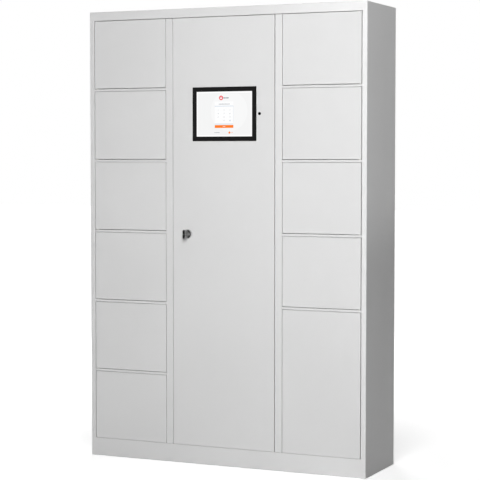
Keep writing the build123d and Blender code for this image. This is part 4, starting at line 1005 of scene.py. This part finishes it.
class LOCKER_OT_stage(bpy.types.Operator):
    """Set the camera, the lamps, the white surround and the floor"""
    bl_idname = "locker.stage"
    bl_label = "Stage"

    def execute(self, context):
        scene = context.scene
        settings = scene.locker_stage
        scene.view_settings.view_transform = "Standard"
        self.camera(scene, settings)
        self.lamps(scene, settings)
        self.surround(scene, settings)
        self.floor(scene, settings)
        return {"FINISHED"}

    def camera(self, scene, settings):
        """Level camera with a slight tilt down."""
        eye = bpy.data.cameras.new("camera")
        eye.lens, eye.sensor_width = settings.lens, 36
        eye.clip_end = 100
        holder = bpy.data.objects.new("camera", eye)
        holder.location = settings.camera
        holder.rotation_euler = (pi / 2 - settings.tilt, 0, settings.turn)
        scene.collection.objects.link(holder)
        scene.camera = holder

    def lamps(self, scene, settings):
        """Two soft lamps that aren't mirrored in the cabinet, and a spot on its upper right side."""
        low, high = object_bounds()
        for name, place, power in (("key lamp", settings.key_place, settings.key_power),
                                   ("rear lamp", settings.rear_place, settings.rear_power)):
            lamp = bpy.data.lights.new(name, "AREA")
            lamp.shape, lamp.size, lamp.energy = "SQUARE", settings.soft_size, power
            holder = bpy.data.objects.new(name, lamp)
            holder.location = place
            holder.visible_glossy = False
            aim = (low + high) / 2 - holder.location
            holder.rotation_euler = aim.to_track_quat("-Z", "Y").to_euler()
            scene.collection.objects.link(holder)
        spot = bpy.data.lights.new("side lamp", "SPOT")
        spot.energy, spot.shadow_soft_size = settings.side_power, 0.12
        spot.spot_size, spot.spot_blend = settings.side_cone, 0.1
        holder = bpy.data.objects.new("side lamp", spot)
        holder.location = settings.side_place
        holder.rotation_euler = (pi / 2 - settings.side_dip, 0, pi / 2)
        scene.collection.objects.link(holder)

    def surround(self, scene, settings):
        """Plain light from all round, and white wherever the camera, gloss or glass sees past the floor."""
        world = bpy.data.worlds.new("surround")
        world.use_nodes = True
        scene.world = world
        nodes = Nodes(world.node_tree)
        light = nodes.tree.nodes["Background"]
        nodes.join(light.inputs["Color"], (1, 1, 1))
        direction = nodes.node("ShaderNodeTexCoord").outputs["Generated"]
        leftward = nodes.vector("DOT_PRODUCT", direction, (-1, 0, 0), result="Value")
        nodes.join(light.inputs["Strength"],
                   nodes.mapped(leftward, *FILL_TURN, settings.fill * settings.shade, settings.fill))
        white = nodes.node("ShaderNodeBackground", {"Color": (1, 1, 1), "Strength": 1})
        mix = nodes.node("ShaderNodeMixShader", {0: nodes.seen(), 1: light.outputs[0], 2: white.outputs[0]})
        nodes.join(nodes.tree.nodes["World Output"].inputs["Surface"], mix.outputs[0])

    def floor(self, scene, settings):
        """Pale floor that keeps the cabinet's soft shadow and turns to white away from it."""
        points = [(-FLOOR, -FLOOR, 0), (FLOOR, -FLOOR, 0), (FLOOR, FLOOR, 0), (-FLOOR, FLOOR, 0)]
        mesh = bpy.data.meshes.new("floor")
        mesh.from_pydata(points, [], [(0, 1, 2, 3)])
        ground = bpy.data.objects.new("floor", mesh)
        scene.collection.objects.link(ground)
        pale = Finish("pale floor", Roughness=0.9, Specular_IOR_Level=0.0)
        pale.put("Base Color", pale.shades(pale.noise(0.4, 3), settings.floor, 0.99, 1.01))
        away = pale.vector("LENGTH", pale.place, result="Value")
        pale.put("Emission Color", (1, 1, 1))
        pale.put("Emission Strength", pale.maths("MULTIPLY", pale.seen(), pale.mapped(away, *WHITENING, 1.0)))
        mesh.materials.append(pale.material)
        ground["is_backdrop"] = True


class LOCKER_PT_parts(bpy.types.Panel):
    """Lists the cabinet's operators and settings"""
    bl_idname = "LOCKER_PT_parts"
    bl_label = "Phone locker cabinet"
    bl_space_type = "VIEW_3D"
    bl_region_type = "UI"
    bl_category = "Locker"

    def draw(self, context):
        for operator in OPERATORS:
            self.layout.operator(operator.bl_idname)
        for attribute, group in SETTINGS.items():
            box = self.layout.box()
            box.label(text=group.__doc__)
            for name in group.__annotations__:
                box.prop(getattr(context.scene, attribute), name)


OPERATORS = (LOCKER_OT_steel, LOCKER_OT_metal, LOCKER_OT_plastic, LOCKER_OT_screen, LOCKER_OT_screws,
             LOCKER_OT_board, LOCKER_OT_supply, LOCKER_OT_stage)
CLASSES = (*SETTINGS.values(), *OPERATORS, LOCKER_PT_parts)


def register():
    """Register the classes and hang the settings on the scene."""
    for kind in CLASSES:
        bpy.utils.register_class(kind)
    for attribute, group in SETTINGS.items():
        setattr(bpy.types.Scene, attribute, bpy.props.PointerProperty(type=group))


def unregister():
    """Take the settings and the classes away again."""
    for attribute in SETTINGS:
        delattr(bpy.types.Scene, attribute)
    for kind in reversed(CLASSES):
        bpy.utils.unregister_class(kind)


def main():
    """Dress the cabinet."""
    register()
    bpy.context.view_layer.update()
    for operator in OPERATORS:
        family, name = operator.bl_idname.split(".")
        getattr(getattr(bpy.ops, family), name)()


if __name__ == "__main__":
    main()
